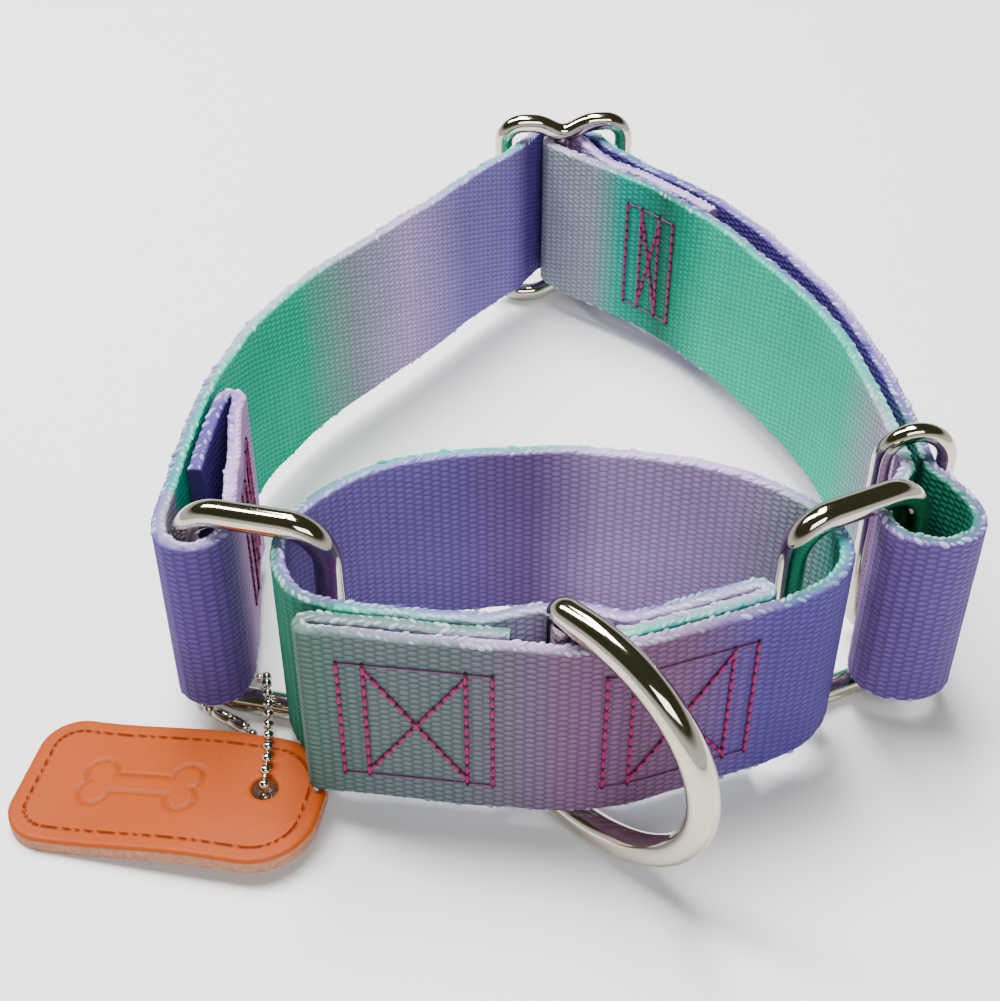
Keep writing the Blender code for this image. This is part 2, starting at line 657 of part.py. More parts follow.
def neck_strap():
    inner, slide_loop, ring_loop, outer_run, left_run, keeper_way = neck_paths()
    crease = NECK_CREASE
    root = (0.0, 0.0)
    inner_length = lengths(inner)[-1]
    ribbon("neck_slide_loop", slide_loop, root)
    ribbon("neck_inner_run", cut(inner, 22.0, inner_length - GAP), root)
    ribbon("neck_ring_loop", cut(ring_loop, 0.0, lengths(ring_loop)[-1] - GAP), root)
    ribbon("neck_outer_run", cut(outer_run, 0.0, lengths(outer_run)[-1] - GAP / 2), root)
    left_length = lengths(left_run)[-1]
    ribbon("neck_left_run", cut(left_run, GAP / 2, left_length), crease)
    left_end = left_end_path(left_run)
    ribbon("neck_left_loop", cut(left_end, GAP, lengths(left_end)[-1]), crease)
    box_stitch("stitch_slide_end_inside", inner, 24.5, 38.5, -1, root)
    box_stitch("stitch_slide_end_outside", beside(inner, PITCH), 26.2, 41.0, 1, root)
    fold = left_length - LEFT_SEWN
    start, end = fold + 3.0, left_length - 8.5
    box_stitch("stitch_left_end_outside", left_run, start, end, -1, crease)
    inside = beside(left_run, lambda s: 2 * LEFT_PITCH + LEFT_FLARE * ease(s, fold, left_length - 6.0))
    box_stitch("stitch_left_end_inside", inside, start, end, 1, crease)
    return keeper_way


def chain_axis():
    """Middle of the left ring's bottom bar, which the chain hangs from."""
    angle = math.radians(LEFT_RING_TURN)
    half = RING_SPAN / 2
    x = LEFT_RING_AT[0] + half * math.cos(angle)
    y = LEFT_RING_AT[1] + half * math.sin(angle)
    return (x, y, RING_WIRE / 2)


def centre_footprint():
    """Put the whole collar under one empty, with the middle of its footprint at the origin."""
    bpy.context.view_layer.update()
    parts = [o for o in bpy.data.objects if o.type == "MESH"]
    corners = [o.matrix_world @ v.co for o in parts for v in o.data.vertices]
    low = Vector([min(c[i] for c in corners) for i in range(3)])
    high = Vector([max(c[i] for c in corners) for i in range(3)])
    frame = bpy.data.objects.new("collar", None)
    bpy.context.scene.collection.objects.link(frame)
    for part in parts:
        part.parent = frame
    frame.location = (-(low.x + high.x) / 2, -(low.y + high.y) / 2, -low.z)


def build():
    for obj in list(bpy.data.objects):
        bpy.data.objects.remove(obj)
    keeper_way = neck_strap()
    control_loop()
    rectangular_ring("left_ring", LEFT_RING_AT, LEFT_RING_TURN)
    rectangular_ring("right_ring", RIGHT_RING_AT, RIGHT_RING_TURN)
    d_ring()
    slide()
    keeper(math.degrees(math.atan2(keeper_way.y, keeper_way.x)) + 90)
    leather_tag()
    bead_chain(chain_axis())
    chain_connector(chain_axis())
    centre_footprint()


build()
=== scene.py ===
"""Looks of an adjustable martingale dog collar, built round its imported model.

Dyed webbing with a real weave and selvedge, box stitching, plated hardware, a bead chain and a
leather tag. Plan sizes are in millimetres, as the collar is laid out, and `placed` turns them into
the frame's metres.
"""
import math

import bpy
import numpy as np
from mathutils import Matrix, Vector
from mathutils.geometry import delaunay_2d_cdt


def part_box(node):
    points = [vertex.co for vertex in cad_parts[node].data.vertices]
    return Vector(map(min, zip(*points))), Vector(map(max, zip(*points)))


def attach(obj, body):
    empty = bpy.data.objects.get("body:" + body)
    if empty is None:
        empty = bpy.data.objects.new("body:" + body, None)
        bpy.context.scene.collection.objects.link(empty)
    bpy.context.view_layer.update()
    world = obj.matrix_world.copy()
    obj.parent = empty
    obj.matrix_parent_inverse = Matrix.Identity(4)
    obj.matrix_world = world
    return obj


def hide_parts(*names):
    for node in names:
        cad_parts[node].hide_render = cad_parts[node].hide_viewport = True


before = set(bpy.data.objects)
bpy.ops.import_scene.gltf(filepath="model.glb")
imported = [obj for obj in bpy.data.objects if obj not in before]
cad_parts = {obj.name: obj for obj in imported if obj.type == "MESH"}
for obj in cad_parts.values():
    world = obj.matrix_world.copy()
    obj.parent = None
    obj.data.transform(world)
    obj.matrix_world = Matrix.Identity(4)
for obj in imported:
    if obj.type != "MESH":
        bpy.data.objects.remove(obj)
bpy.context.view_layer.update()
MM = 0.001

# webbing
WEB_WIDTH = 38.0
WEB_THICK = 2.6
WEB_BOTTOM = 6.25
WEB_TOP = WEB_BOTTOM + WEB_WIDTH
SEWN_GAP = 0.3
PITCH = WEB_THICK + SEWN_GAP
GAP = 0.3
YARNS = 62                    # warp yarns across one face
YARN_PITCH = WEB_WIDTH / YARNS
PICK_PITCH = 1.7              # one weft to the next
STATION = PICK_PITCH / 4      # mesh rows along the strip
RELIEF = 0.14                 # how far a float stands over the gaps
LOOP_PITCH = 1.35             # selvedge loops

# plan of the hardware
RING_WIRE = 5.0
RING_SPAN = 25.5
RING_HEIGHT = 50.0
RING_CORNER = 7.0
LEFT_RING_AT = (-52.8, -49.4)
LEFT_RING_TURN = -13.2
RIGHT_RING_AT = (73.2, -43.1)
RIGHT_RING_TURN = 205.8
D_WIRE = 5.5
D_HEIGHT = 50.5
D_REACH = 30.5
D_SHOULDER = 4.9
D_AT = (10.7, -74.7)
D_TURN = -44.7
SLIDE_WIRE = 4.2
SLIDE_BAR = 4.0
SLIDE_SPAN = 28.2
SLIDE_HEIGHT = 50.5
SLIDE_CORNER = 4.5
SLIDE_DIP = 2.6
SLIDE_AT = (16.0, 89.5)
SLIDE_TURN = 4.0
KEEPER_WIRE = 3.6
KEEPER_OPENING = 8.2
KEEPER_HEIGHT = 50.75
KEEPER_AT = (75.0, -30.5)
BAR_SIDES = 28
BEND_STEPS = 14

# tag and chain
TAG_LENGTH = 54.0
TAG_WIDTH = 27.5
TAG_THICK = 3.2
TAG_LIFT = 2.6
TAG_LEFT_RADIUS = 7.5
TAG_RIGHT_RADIUS = 11.0
TAG_TURN = -10.5
TAG_HOLE = 4.8
TAG_HOLE_PLACE = (-39.6, -74.9)
TAG_HOLE_AT = 16.4            # along the tag from its middle
TAG_HOLE_SIDE = 2.0           # and off its long axis
TAG_LIFT_START = -20.0        # the far end lies flat up to here
TAG_LIFT_LENGTH = 30.0
TAG_HOLE_MIDDLE = (TAG_HOLE_AT, TAG_HOLE_SIDE)
BEAD = 2.0
BEAD_PITCH = 2.7
LINK_WIRE = 0.8
CONNECTOR = 2.8
BARREL_SHARE = 0.84           # slimmer than its solid, to clear the ring as the chain swings

# stitching
STITCH = 2.3
BOX_HEIGHT = 26.0
ROW_STEP = 4.25


def dyed(red, green, blue):
    """Linear colour from the 0 to 255 values on a dyer's card."""
    return tuple((v / 255 / 12.92) if v < 11 else ((v / 255 + 0.055) / 1.055) ** 2.4
                 for v in (red, green, blue))


MINT = dyed(0, 178, 144)
AQUA = dyed(30, 160, 140)
JADE = dyed(22, 106, 84)
MOSS = dyed(78, 104, 96)
SAGE = dyed(92, 104, 110)
MIST = dyed(144, 150, 164)
MAUVE = dyed(116, 84, 118)
LILAC = dyed(190, 160, 214)
PLUM = dyed(130, 96, 160)
VIOLET = dyed(96, 76, 142)
INDIGO = dyed(80, 66, 140)
# A violet lifted with painted light, for webbing faces that lie in shade: the neck crease, the back run's far
# end and the control loop's left bend.
PAINTED_LIGHT_VIOLET = dyed(134, 116, 190)
PINK = dyed(196, 140, 206)
PALE = dyed(196, 216, 224)
PINK_THREAD = dyed(148, 8, 92)
# Thread colour at the dips, where each stitch goes down into its hole: painted shade, not a second thread.
THREAD_DIP_SHADE = dyed(56, 0, 26)
SUNK_THREAD = dyed(112, 60, 104)
ORANGE = (0.3, 0.045, 0.0)
RUST = (0.13, 0.014, 0.0)

# where plan zero lies in the frame
keeper_low, keeper_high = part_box("keeper")
SHIFT = (keeper_low + keeper_high) / 2 / MM - Vector((*KEEPER_AT, 0))
SHIFT.z = 0


def placed(points):
    """Plan points in millimetres as an array of points in the frame's metres."""
    return (np.asarray(points, float) + np.array(SHIFT)) * MM


# ---------------------------------------------------------------- plan curves
def spline(points, step=0.25):
    """Centripetal curve through points, sampled about every `step`."""
    pts = [Vector(p) for p in points]
    pts = [2 * pts[0] - pts[1]] + pts + [2 * pts[-1] - pts[-2]]
    out = []
    for p0, p1, p2, p3 in zip(pts, pts[1:], pts[2:], pts[3:]):
        t1 = (p1 - p0).length ** 0.5
        t2 = t1 + (p2 - p1).length ** 0.5
        t3 = t2 + (p3 - p2).length ** 0.5
        count = max(2, round((p2 - p1).length / step))
        for i in range(count):
            t = t1 + (t2 - t1) * i / count
            a1 = p0.lerp(p1, t / t1)
            a2 = p1.lerp(p2, (t - t1) / (t2 - t1))
            a3 = p2.lerp(p3, (t - t2) / (t3 - t2))
            b1 = a1.lerp(a2, t / t2)
            b2 = a2.lerp(a3, (t - t1) / (t3 - t1))
            out.append(b1.lerp(b2, (t - t1) / (t2 - t1)))
    out.append(pts[-2])
    return out


def lengths(path):
    """Distance along the path at each of its points."""
    out = [0.0]
    for a, b in zip(path, path[1:]):
        out.append(out[-1] + (b - a).length)
    return out


def point_at(path, s, total=None):
    """Point and unit direction of the path at distance s, straight on past its ends."""
    total = total or lengths(path)
    i = int(np.clip(np.searchsorted(total, s) - 1, 0, len(path) - 2))
    direction = (path[i + 1] - path[i]).normalized()
    return path[i] + direction * (s - total[i]), direction


def cut(path, start, end):
    """The stretch of the path from distance start to distance end."""
    total = lengths(path)
    inner = [p for p, s in zip(path, total) if start + 0.05 < s < end - 0.05]
    return [point_at(path, start)[0]] + inner + [point_at(path, end)[0]]


def beside(path, distance):
    """A curve beside the path, on its left; distance is a number or a function of arc length."""
    total = lengths(path)
    out = []
    for i, (p, s) in enumerate(zip(path, total)):
        along = (path[min(i + 1, len(path) - 1)] - path[max(i - 1, 0)]).normalized()
        d = distance(s) if callable(distance) else distance
        out.append(p + Vector((-along.y, along.x)) * d)
    return out


def half_turn(a, b, bulge, steps=12):
    """Half circle from a to b, standing out towards the direction bulge."""
    centre = (a + b) / 2
    radius = (a - b).length / 2
    arm = (a - centre).normalized()
    out = []
    for i in range(1, steps):
        angle = math.pi * i / steps
        out.append(centre + radius * (math.cos(angle) * arm + math.sin(angle) * bulge))
    return out


def ease(s, start, end):
    """0 before start, 1 after end, smooth between."""
    t = min(1.0, max(0.0, (s - start) / (end - start)))
    return t * t * (3 - 2 * t)


# ---------------------------------------------------------------- how the webbing runs
THREAD = 0.4
TAIL_LENGTH = 46.0
NECK_CREASE = (6.3, 87.6)
LEFT_PITCH = WEB_THICK + 0.8
LEFT_FLARE = 3.2
LEFT_SEWN = 28.5
INNER_START = 3.5


def inner_run_path():
    """From the slide's centre bar along the inside of the right branch, to the keeper."""
    bar = Vector(SLIDE_AT)
    turn = SLIDE_BAR / 2 + GAP + WEB_THICK / 2
    inward = Vector((math.cos(math.radians(221)), math.sin(math.radians(221))))
    inner = spline([bar + inward * turn, (18.6, 81.7), (27.4, 74.2), (37.0, 65.0), (47.0, 52.2),
                    (55.0, 38.4), (61.9, 24.7), (66.6, 13.0), (69.3, 2.0), (71.1, -9.0),
                    (72.3, -21.0), (73.1, -32.0)])
    return inner, turn


def outer_offset(s):
    """Distance from the inner run to the outer run: over the tail, then easing to the keeper."""
    over_tail = 2 * PITCH + THREAD + GAP
    return over_tail + (KEEPER_OPENING - 2 * WEB_THICK + 1.1 - over_tail) * ease(s, 52.0, 104.0)


def neck_paths():
    """Plan paths of the neck strap: slide loop, inner run, ring loop, outer run, left run and left loop."""
    inner, turn = inner_run_path()
    tail = beside(cut(inner, 0.0, TAIL_LENGTH),
                  lambda s: PITCH + (2 * turn - PITCH) * (1 - ease(s, 0.0, 17.0)))
    bar = Vector(SLIDE_AT)
    wrap = []
    for i in range(1, 18):
        angle = math.radians(41 + 180 * i / 18)
        wrap.append(bar + turn * Vector((math.cos(angle), math.sin(angle))))
    slide_loop = list(reversed(tail)) + wrap + cut(inner, 0.0, 22.0)
    keeper_end, keeper_way = point_at(inner, lengths(inner)[-1])
    outer = beside(inner, outer_offset)
    drop = outer[-1]
    ring_loop = spline([keeper_end, keeper_end + keeper_way * 2.0, (70.9, -37.4), (68.0, -42.4),
                        (66.8, -47.6), (68.4, -51.8), (73.0, -53.9), (78.5, -53.3), (82.1, -50.0),
                        (82.7, -45.0), (80.7, -39.5), drop + keeper_way * 2.0, drop])
    outer_cut = cut(outer, 21.0, lengths(outer)[-1])
    bridge = spline([outer_cut[0], (27.2, 85.2), (24.4, 90.0), (21.0, 94.4), (16.0, 96.5), (11.0, 94.7),
                     (7.6, 90.0), NECK_CREASE])
    outer_run = list(reversed(outer_cut))[:-1] + bridge
    left_run = spline([NECK_CREASE, (5.0, 85.0), (0.6, 80.0), (-7.6, 69.6), (-15.6, 58.6), (-25.6, 45.8),
                       (-32.6, 37.2), (-39.6, 27.6), (-45.5, 16.4), (-48.9, 9.1), (-51.7, -0.4),
                       (-54.2, -11.5), (-55.8, -27.0), (-56.7, -41.0)])
    total = lengths(left_run)[-1]
    sewn = cut(left_run, total - LEFT_SEWN, total - 6.0)
    layer = beside(sewn, lambda s: LEFT_PITCH * 2 + LEFT_FLARE * ease(s, 0.0, LEFT_SEWN - 6.0))
    tucked = beside(sewn, LEFT_PITCH)
    wrap = spline([left_run[-1], (-56.9, -49.4), (-55.3, -53.6), (-51.4, -55.2), (-47.5, -53.6),
                   (-45.7, -49.4), (-45.6, -43.5), layer[-1]])
    fold = half_turn(layer[0], tucked[0], (sewn[0] - sewn[1]).normalized())
    left_loop = wrap[:-1] + list(reversed(layer)) + fold + tucked[:-2]
    inner_run = cut(inner, 22.0, lengths(inner)[-1])
    return inner, slide_loop, inner_run, ring_loop, outer_run, left_run, left_loop


def control_paths():
    """The control loop: outer layer with its left fold, the run round the rings, inner layer."""
    front = spline([(-29.5, -74.7), (-13.0, -76.7), (1.0, -78.5), (10.7, -79.3), (21.0, -78.1),
                    (33.0, -74.0), (46.0, -69.2)])
    length = lengths(front)[-1]
    swell = D_WIRE + 2 * GAP + WEB_THICK - 2 * PITCH
    crown = min(range(len(front)), key=lambda i: (front[i] - Vector(D_AT)).length)
    d_along = lengths(front)[crown]

    def inner_offset(s):
        near = ease(s, d_along - 14.0, d_along - 4.0) * (1 - ease(s, d_along + 4.0, d_along + 14.0))
        return 2 * PITCH + (swell + 0.5) * near

    left_tail = beside(cut(front, 0.0, 32.0), PITCH)
    left_fold = half_turn(left_tail[0], front[0], (front[0] - front[1]).normalized())
    outer = list(reversed(left_tail)) + left_fold + front
    inner = beside(cut(front, INNER_START, length - 1.5), lambda s: inner_offset(s + INNER_START))
    right_tail = beside(cut(front, d_along + 7.5, length - 1.5), PITCH)
    right_fold = half_turn(inner[-1], right_tail[-1], (inner[-1] - inner[-2]).normalized())
    round_trip = spline([front[-1], (54.6, -63.9), (58.7, -57.0), (57.5, -48.8), (52.0, -41.8),
                         (44.0, -36.0), (32.5, -32.0), (18.0, -29.6), (4.0, -29.1), (-11.0, -31.0),
                         (-24.5, -36.5), (-32.5, -44.5), (-35.7, -52.0), (-35.5, -59.5),
                         (-32.0, -66.3), inner[0]])
    inner_layer = inner + right_fold + list(reversed(right_tail))
    return front, inner, outer, round_trip, inner_layer


# ---------------------------------------------------------------- node trees
class Nodes:
    """Adds nodes to a tree and feeds their inputs as it goes."""

    def __init__(self, tree):
        self.tree = tree

    def add(self, kind, feeds=None, **settings):
        node = self.tree.nodes.new(kind)
        for key, value in settings.items():
            setattr(node, key, value)
        for key, value in (feeds or {}).items():
            self.feed(node.inputs[key], value)
        return node

    def feed(self, socket, value):
        if isinstance(value, bpy.types.NodeSocket):
            self.tree.links.new(value, socket)
        else:
            socket.default_value = value

    def math(self, operation, *values):
        node = self.add("ShaderNodeMath", operation=operation)
        for socket, value in zip(node.inputs, values):
            self.feed(socket, value)
        return node.outputs[0]

    def vector_math(self, operation, a, b=None, scale=None):
        node = self.add("ShaderNodeVectorMath", operation=operation)
        self.feed(node.inputs[0], a)
        if b is not None:
            self.feed(node.inputs[1], b)
        if scale is not None:
            self.feed(node.inputs["Scale"], scale)
        return node.outputs[0]


def woven_height(nodes, along, across):
    """0 in the gaps to 1 on the crowns of a warp-faced plain weave; neighbouring yarns alternate."""
    yarn = nodes.math("DIVIDE", across, YARN_PITCH)
    from_even = nodes.math("PINGPONG", yarn, 1.0)
    from_odd = nodes.math("SUBTRACT", 1.0, from_even)
    swing = nodes.math("COSINE", nodes.math("MULTIPLY", along, math.pi / PICK_PITCH))
    raised = []
    for away, way in ((from_even, 1.0), (from_odd, -1.0)):
        up = nodes.math("SQRT", nodes.math("MAXIMUM", nodes.math("MULTIPLY", swing, way), 0.0))
        spread = nodes.math("POWER", nodes.math("DIVIDE", away, 0.92), 2.0)
        crown = nodes.math("MAXIMUM", nodes.math("SUBTRACT", 1.0, spread), 0.0)
        raised.append(nodes.math("MULTIPLY", up, crown))
    return nodes.math("MAXIMUM", *raised)


def geometry_tree(name, inputs):
    """An empty Geometry Nodes tree with one geometry in and out, and named value inputs."""
    tree = bpy.data.node_groups.new(name, "GeometryNodeTree")
    tree.interface.new_socket("Geometry", in_out="INPUT", socket_type="NodeSocketGeometry")
    for label, kind in inputs:
        tree.interface.new_socket(label, in_out="INPUT", socket_type=kind)
    tree.interface.new_socket("Geometry", in_out="OUTPUT", socket_type="NodeSocketGeometry")
    nodes = Nodes(tree)
    return tree, nodes, nodes.add("NodeGroupInput"), nodes.add("NodeGroupOutput")


def named(nodes, name, kind="FLOAT"):
    return nodes.add("GeometryNodeInputNamedAttribute", {"Name": name}, data_type=kind).outputs[0]


def weaving_tree():
    """Raises the warp floats of a strip: relief along the normal, by the strip's own coordinates."""
    tree, nodes, given, out = geometry_tree("woven floats", [
        ("Relief", "NodeSocketFloat"), ("Material", "NodeSocketMaterial")])
    height = woven_height(nodes, named(nodes, "along"), named(nodes, "across"))
    on_face = nodes.math("MULTIPLY", height, named(nodes, "face"))
    lift = nodes.math("MULTIPLY", on_face, given.outputs["Relief"])
    offset = nodes.vector_math("SCALE", nodes.add("GeometryNodeInputNormal").outputs[0], scale=lift)
    moved = nodes.add("GeometryNodeSetPosition", {"Geometry": given.outputs["Geometry"], "Offset": offset})
    real = nodes.add("GeometryNodeRealizeInstances", {"Geometry": moved.outputs[0]})
    done = nodes.add("GeometryNodeSetMaterial", {"Geometry": real.outputs[0],
                                                 "Material": given.outputs["Material"]})
    nodes.feed(out.inputs[0], done.outputs[0])
    return tree


def setting_out_tree():
    """Puts a small rounded body on each point, lying along "ahead" with its crown towards "out"."""
    tree, nodes, given, out = geometry_tree("bodies set out along rows", [
        ("Length", "NodeSocketFloat"), ("Width", "NodeSocketFloat"), ("Height", "NodeSocketFloat"),
        ("Sides", "NodeSocketInt"), ("Rings", "NodeSocketInt"), ("Unevenness", "NodeSocketFloat"),
        ("Seed", "NodeSocketInt"), ("Material", "NodeSocketMaterial")])
    size = nodes.add("ShaderNodeCombineXYZ", {
        "X": given.outputs["Length"], "Y": given.outputs["Width"], "Z": given.outputs["Height"]})
    ball = nodes.add("GeometryNodeMeshUVSphere", {
        "Segments": given.outputs["Sides"], "Rings": given.outputs["Rings"], "Radius": 0.5})
    lain = nodes.add("GeometryNodeTransform", {"Geometry": ball.outputs[0], "Rotation": (0, math.pi / 2, 0)})
    body = nodes.add("GeometryNodeTransform", {"Geometry": lain.outputs[0], "Scale": size.outputs[0]})
    first = nodes.add("FunctionNodeAlignRotationToVector",
                      {"Vector": named(nodes, "ahead", "FLOAT_VECTOR")}, axis="X")
    turn = nodes.add("FunctionNodeAlignRotationToVector", {
        "Rotation": first.outputs[0],
        "Vector": named(nodes, "out", "FLOAT_VECTOR")}, axis="Z", pivot_axis="X")
    spread = given.outputs["Unevenness"]
    uneven = nodes.add("FunctionNodeRandomValue", {"Seed": given.outputs["Seed"]}, data_type="FLOAT")
    nodes.feed(uneven.inputs[2], nodes.math("SUBTRACT", 1.0, spread))
    nodes.feed(uneven.inputs[3], nodes.math("ADD", 1.0, spread))
    scale = nodes.vector_math("SCALE", named(nodes, "size", "FLOAT_VECTOR"), scale=uneven.outputs[1])
    set_out = nodes.add("GeometryNodeInstanceOnPoints", {
        "Points": given.outputs["Geometry"], "Instance": body.outputs[0],
        "Rotation": turn.outputs[0], "Scale": scale})
    real = nodes.add("GeometryNodeRealizeInstances", {"Geometry": set_out.outputs[0]})
    smooth = nodes.add("GeometryNodeSetShadeSmooth", {"Geometry": real.outputs[0]})
    done = nodes.add("GeometryNodeSetMaterial", {"Geometry": smooth.outputs[0],
                                                 "Material": given.outputs["Material"]})
    nodes.feed(out.inputs[0], done.outputs[0])
    return tree


def run_tree(obj, tree, **values):
    """Runs a tree on the object with these inputs, and keeps the result as its plain mesh."""
    modifier = obj.modifiers.new(tree.name, "NODES")
    modifier.node_group = tree
    for item in tree.interface.items_tree:
        if item.in_out == "INPUT" and item.name in values:
            modifier[item.identifier] = values[item.name]
    graph = bpy.context.evaluated_depsgraph_get()
    mesh = bpy.data.meshes.new_from_object(obj.evaluated_get(graph), preserve_all_data_layers=True,
                                           depsgraph=graph)
    obj.modifiers.clear()
    base, obj.data = obj.data, mesh
    bpy.data.meshes.remove(base)
    return obj


# ---------------------------------------------------------------- meshes
def mesh_object(name, verts, faces, mat=None, values=None, sharp=50):
    """One object from points in the frame's metres, with smooth faces and point attributes."""
    mesh = bpy.data.meshes.new(name)
    mesh.from_pydata([tuple(v) for v in verts], [], faces)
    for label, kind, data in values or []:
        key = {"FLOAT_VECTOR": "vector", "FLOAT_COLOR": "color", "FLOAT": "value"}[kind]
        layer = mesh.attributes.new(label, kind, "POINT")
        layer.data.foreach_set(key, np.asarray(data, np.float32).ravel())
    if faces:
        mesh.shade_smooth()
        mesh.set_sharp_from_angle(angle=math.radians(sharp))
    if mat:
        mesh.materials.append(mat)
    obj = bpy.data.objects.new(name, mesh)
    bpy.context.scene.collection.objects.link(obj)
    return obj


def stations(path):
    """Even rows along a plan path: distances, places and left-hand directions."""
    pts = np.array([(p.x, p.y) for p in path])
    steps = np.linalg.norm(np.diff(pts, axis=0), axis=1)
    s = np.concatenate([[0.0], np.cumsum(steps)])
    count = 4 * max(1, round(s[-1] / PICK_PITCH))
    t = np.linspace(0.0, s[-1], count + 1)
    place = np.stack([np.interp(t, s, pts[:, 0]), np.interp(t, s, pts[:, 1])], 1)
    smooth = place.copy()
    smooth[1:-1] = (place[:-2] + place[1:-1] + place[2:]) / 3
    way = np.gradient(smooth, axis=0)
    way /= np.linalg.norm(way, axis=1)[:, None]
    return t, place, np.stack([-way[:, 1], way[:, 0]], 1)


def dye_along(keys, share):
    """Colour at each share of the strip's length, from (share, colour) keys."""
    at = [k for k, _ in keys]
    return np.stack([np.interp(share, at, [c[i] for _, c in keys]) for i in range(3)], 1)


def wavering(s, seed):
    """A slow unevenness of about one unit along the strip."""
    return (np.sin(s / 6.1 + seed) + np.sin(s / 3.7 + 2.3 * seed) + 0.6 * np.sin(s / 2.2 + 4.1 * seed)) / 2.6


class Strip:
    """One stretch of webbing on its edge, with its own weave coordinates, dyes and selvedges."""

    def __init__(self, name, path, left, right, start, seed):
        self.name, self.seed = name, seed
        self.s, self.place, self.side = stations(path)
        share = self.s / self.s[-1]
        self.left, self.right = dye_along(left, share), dye_along(right, share)
        self.along = start + (np.arange(len(self.s)) + 2) * STATION
        self.flat = (WEB_WIDTH * MM, self.s[-1] * MM)

    def section(self):
        """Round the strip: (offset to the left, height, face, side) with both faces and rounded edges."""
        rounding = WEB_THICK / 2
        columns = 2 * YARNS
        low, high = 0.55, WEB_WIDTH - 0.55
        rows = [(1.0, low + (high - low) * k / columns, 1.0) for k in range(columns + 1)]
        rows += [(math.cos(a), high + 0.55 * math.sin(a), 0.0) for a in np.radians([30, 60, 90, 120, 150])]
        rows += [(-1.0, low + (high - low) * (1 - k / columns), 1.0) for k in range(columns + 1)]
        rows += [(-math.cos(a), low - 0.55 * math.sin(a), 0.0) for a in np.radians([30, 60, 90, 120, 150])]
        out = np.array(rows)
        out[:, 0] *= rounding
        return out, columns

    def build(self, tree, mat):
        section, columns = self.section()
        n, m = len(self.s), len(section)
        edge_wave = 0.28 * wavering(self.s, self.seed)
        low_wave = 0.28 * wavering(self.s, self.seed + 5.0)
        height = section[:, 1] / WEB_WIDTH
        z = (WEB_BOTTOM + section[None, :, 1] + edge_wave[:, None] * height ** 6
             + low_wave[:, None] * (1 - height) ** 6)
        xy = self.place[:, None, :] + self.side[:, None, :] * section[None, :, :1]
        verts = placed(np.concatenate([xy, z[..., None]], 2).reshape(-1, 3))
        i, k = np.meshgrid(np.arange(n - 1), np.arange(m), indexing="ij")
        a, b = i * m + k, i * m + (k + 1) % m
        faces = np.stack([a, a + m, b + m, b], -1).reshape(-1, 4).tolist()
        top = columns + 5
        for base, order in ((0, 1), ((n - 1) * m, -1)):
            right = [top + 1 + columns - c for c in range(columns + 1)]
            for c in range(columns):
                faces.append([base + v for v in (c, c + 1, right[c + 1], right[c])][::order])
            faces.append([base + v for v in range(columns, top + 2)][::order])
            faces.append([base + v for v in [*range(right[0], m), 0]][::order])
        face = np.tile(section[:, 2], n)
        blend = np.clip(section[:, 0] / WEB_THICK + 0.5, 0, 1)[None, :, None]
        dye = self.right[:, None, :] * (1 - blend) + self.left[:, None, :] * blend
        dye = np.concatenate([dye, np.ones((n, m, 1))], 2)
        across = np.tile(section[:, 1], n)
        along = np.repeat(self.along, m)
        obj = mesh_object(self.name, verts, faces, None, [
            ("along", "FLOAT", along), ("across", "FLOAT", across), ("face", "FLOAT", face),
            ("dye", "FLOAT_COLOR", dye.reshape(-1, 4))], sharp=60)
        return run_tree(obj, tree, Relief=RELIEF * MM, Material=mat)

    def selvedge(self, tree, mat):
        """Rows of loops on both edges, leaning to and fro like a chain stitch."""
        rows = Rows()
        rng = np.random.default_rng(int(self.seed * 100))
        marks = np.arange(LOOP_PITCH / 2, self.s[-1] - LOOP_PITCH / 3, LOOP_PITCH)
        x, y = (np.interp(marks, self.s, self.place[:, c]) for c in (0, 1))
        sx, sy = (np.interp(marks, self.s, self.side[:, c]) for c in (0, 1))
        for top in (True, False):
            wave = 0.28 * wavering(marks, self.seed + (0.0 if top else 5.0))
            z = (WEB_TOP - 0.32 if top else WEB_BOTTOM + 0.32) + wave
            up = 1.0 if top else -1.0
            for side in (1.0, -1.0):
                shift = side * 0.62 + rng.uniform(-0.22, 0.22, len(marks))
                colours = np.stack([np.interp(marks, self.s, (self.left if side > 0 else self.right)[:, c])
                                    for c in range(3)], 1)
                white = rng.uniform(0.0, 0.62, len(marks))[:, None]
                rise = rng.uniform(-0.15, 0.15, len(marks))
                tilt = rng.uniform(0.3, 0.8, len(marks))
                colours = colours * (1 - white) + np.array(PALE) * white
                for j in range(len(marks)):
                    ahead = Vector((sy[j], -sx[j], 0.0))
                    across = Vector((sx[j], sy[j], 0.0))
                    lean = tilt[j] * side
                    rows.put((x[j] + across.x * shift[j], y[j] + across.y * shift[j], z[j] + rise[j]),
                             ahead + across * lean, Vector((0, 0, up)) + across * side * 0.5,
                             colours[j], (1.0, 1.0, 1.0))
        return rows.build(self.name + "_selvedge", tree, mat, Length=1.75, Width=0.85, Height=0.85,
                          Sides=7, Rings=5, Unevenness=0.3, Seed=int(self.seed))


def join_ends(a, b):
    """Gives two strips one end face where they meet, so that no seam opens between them."""
    if np.linalg.norm(a.place[-1] - b.place[0]) < 0.5:
        shared = a.side[-1] + b.side[0]
        a.side[-1] = b.side[0] = shared / np.linalg.norm(shared)
        a.place[-1] = b.place[0]


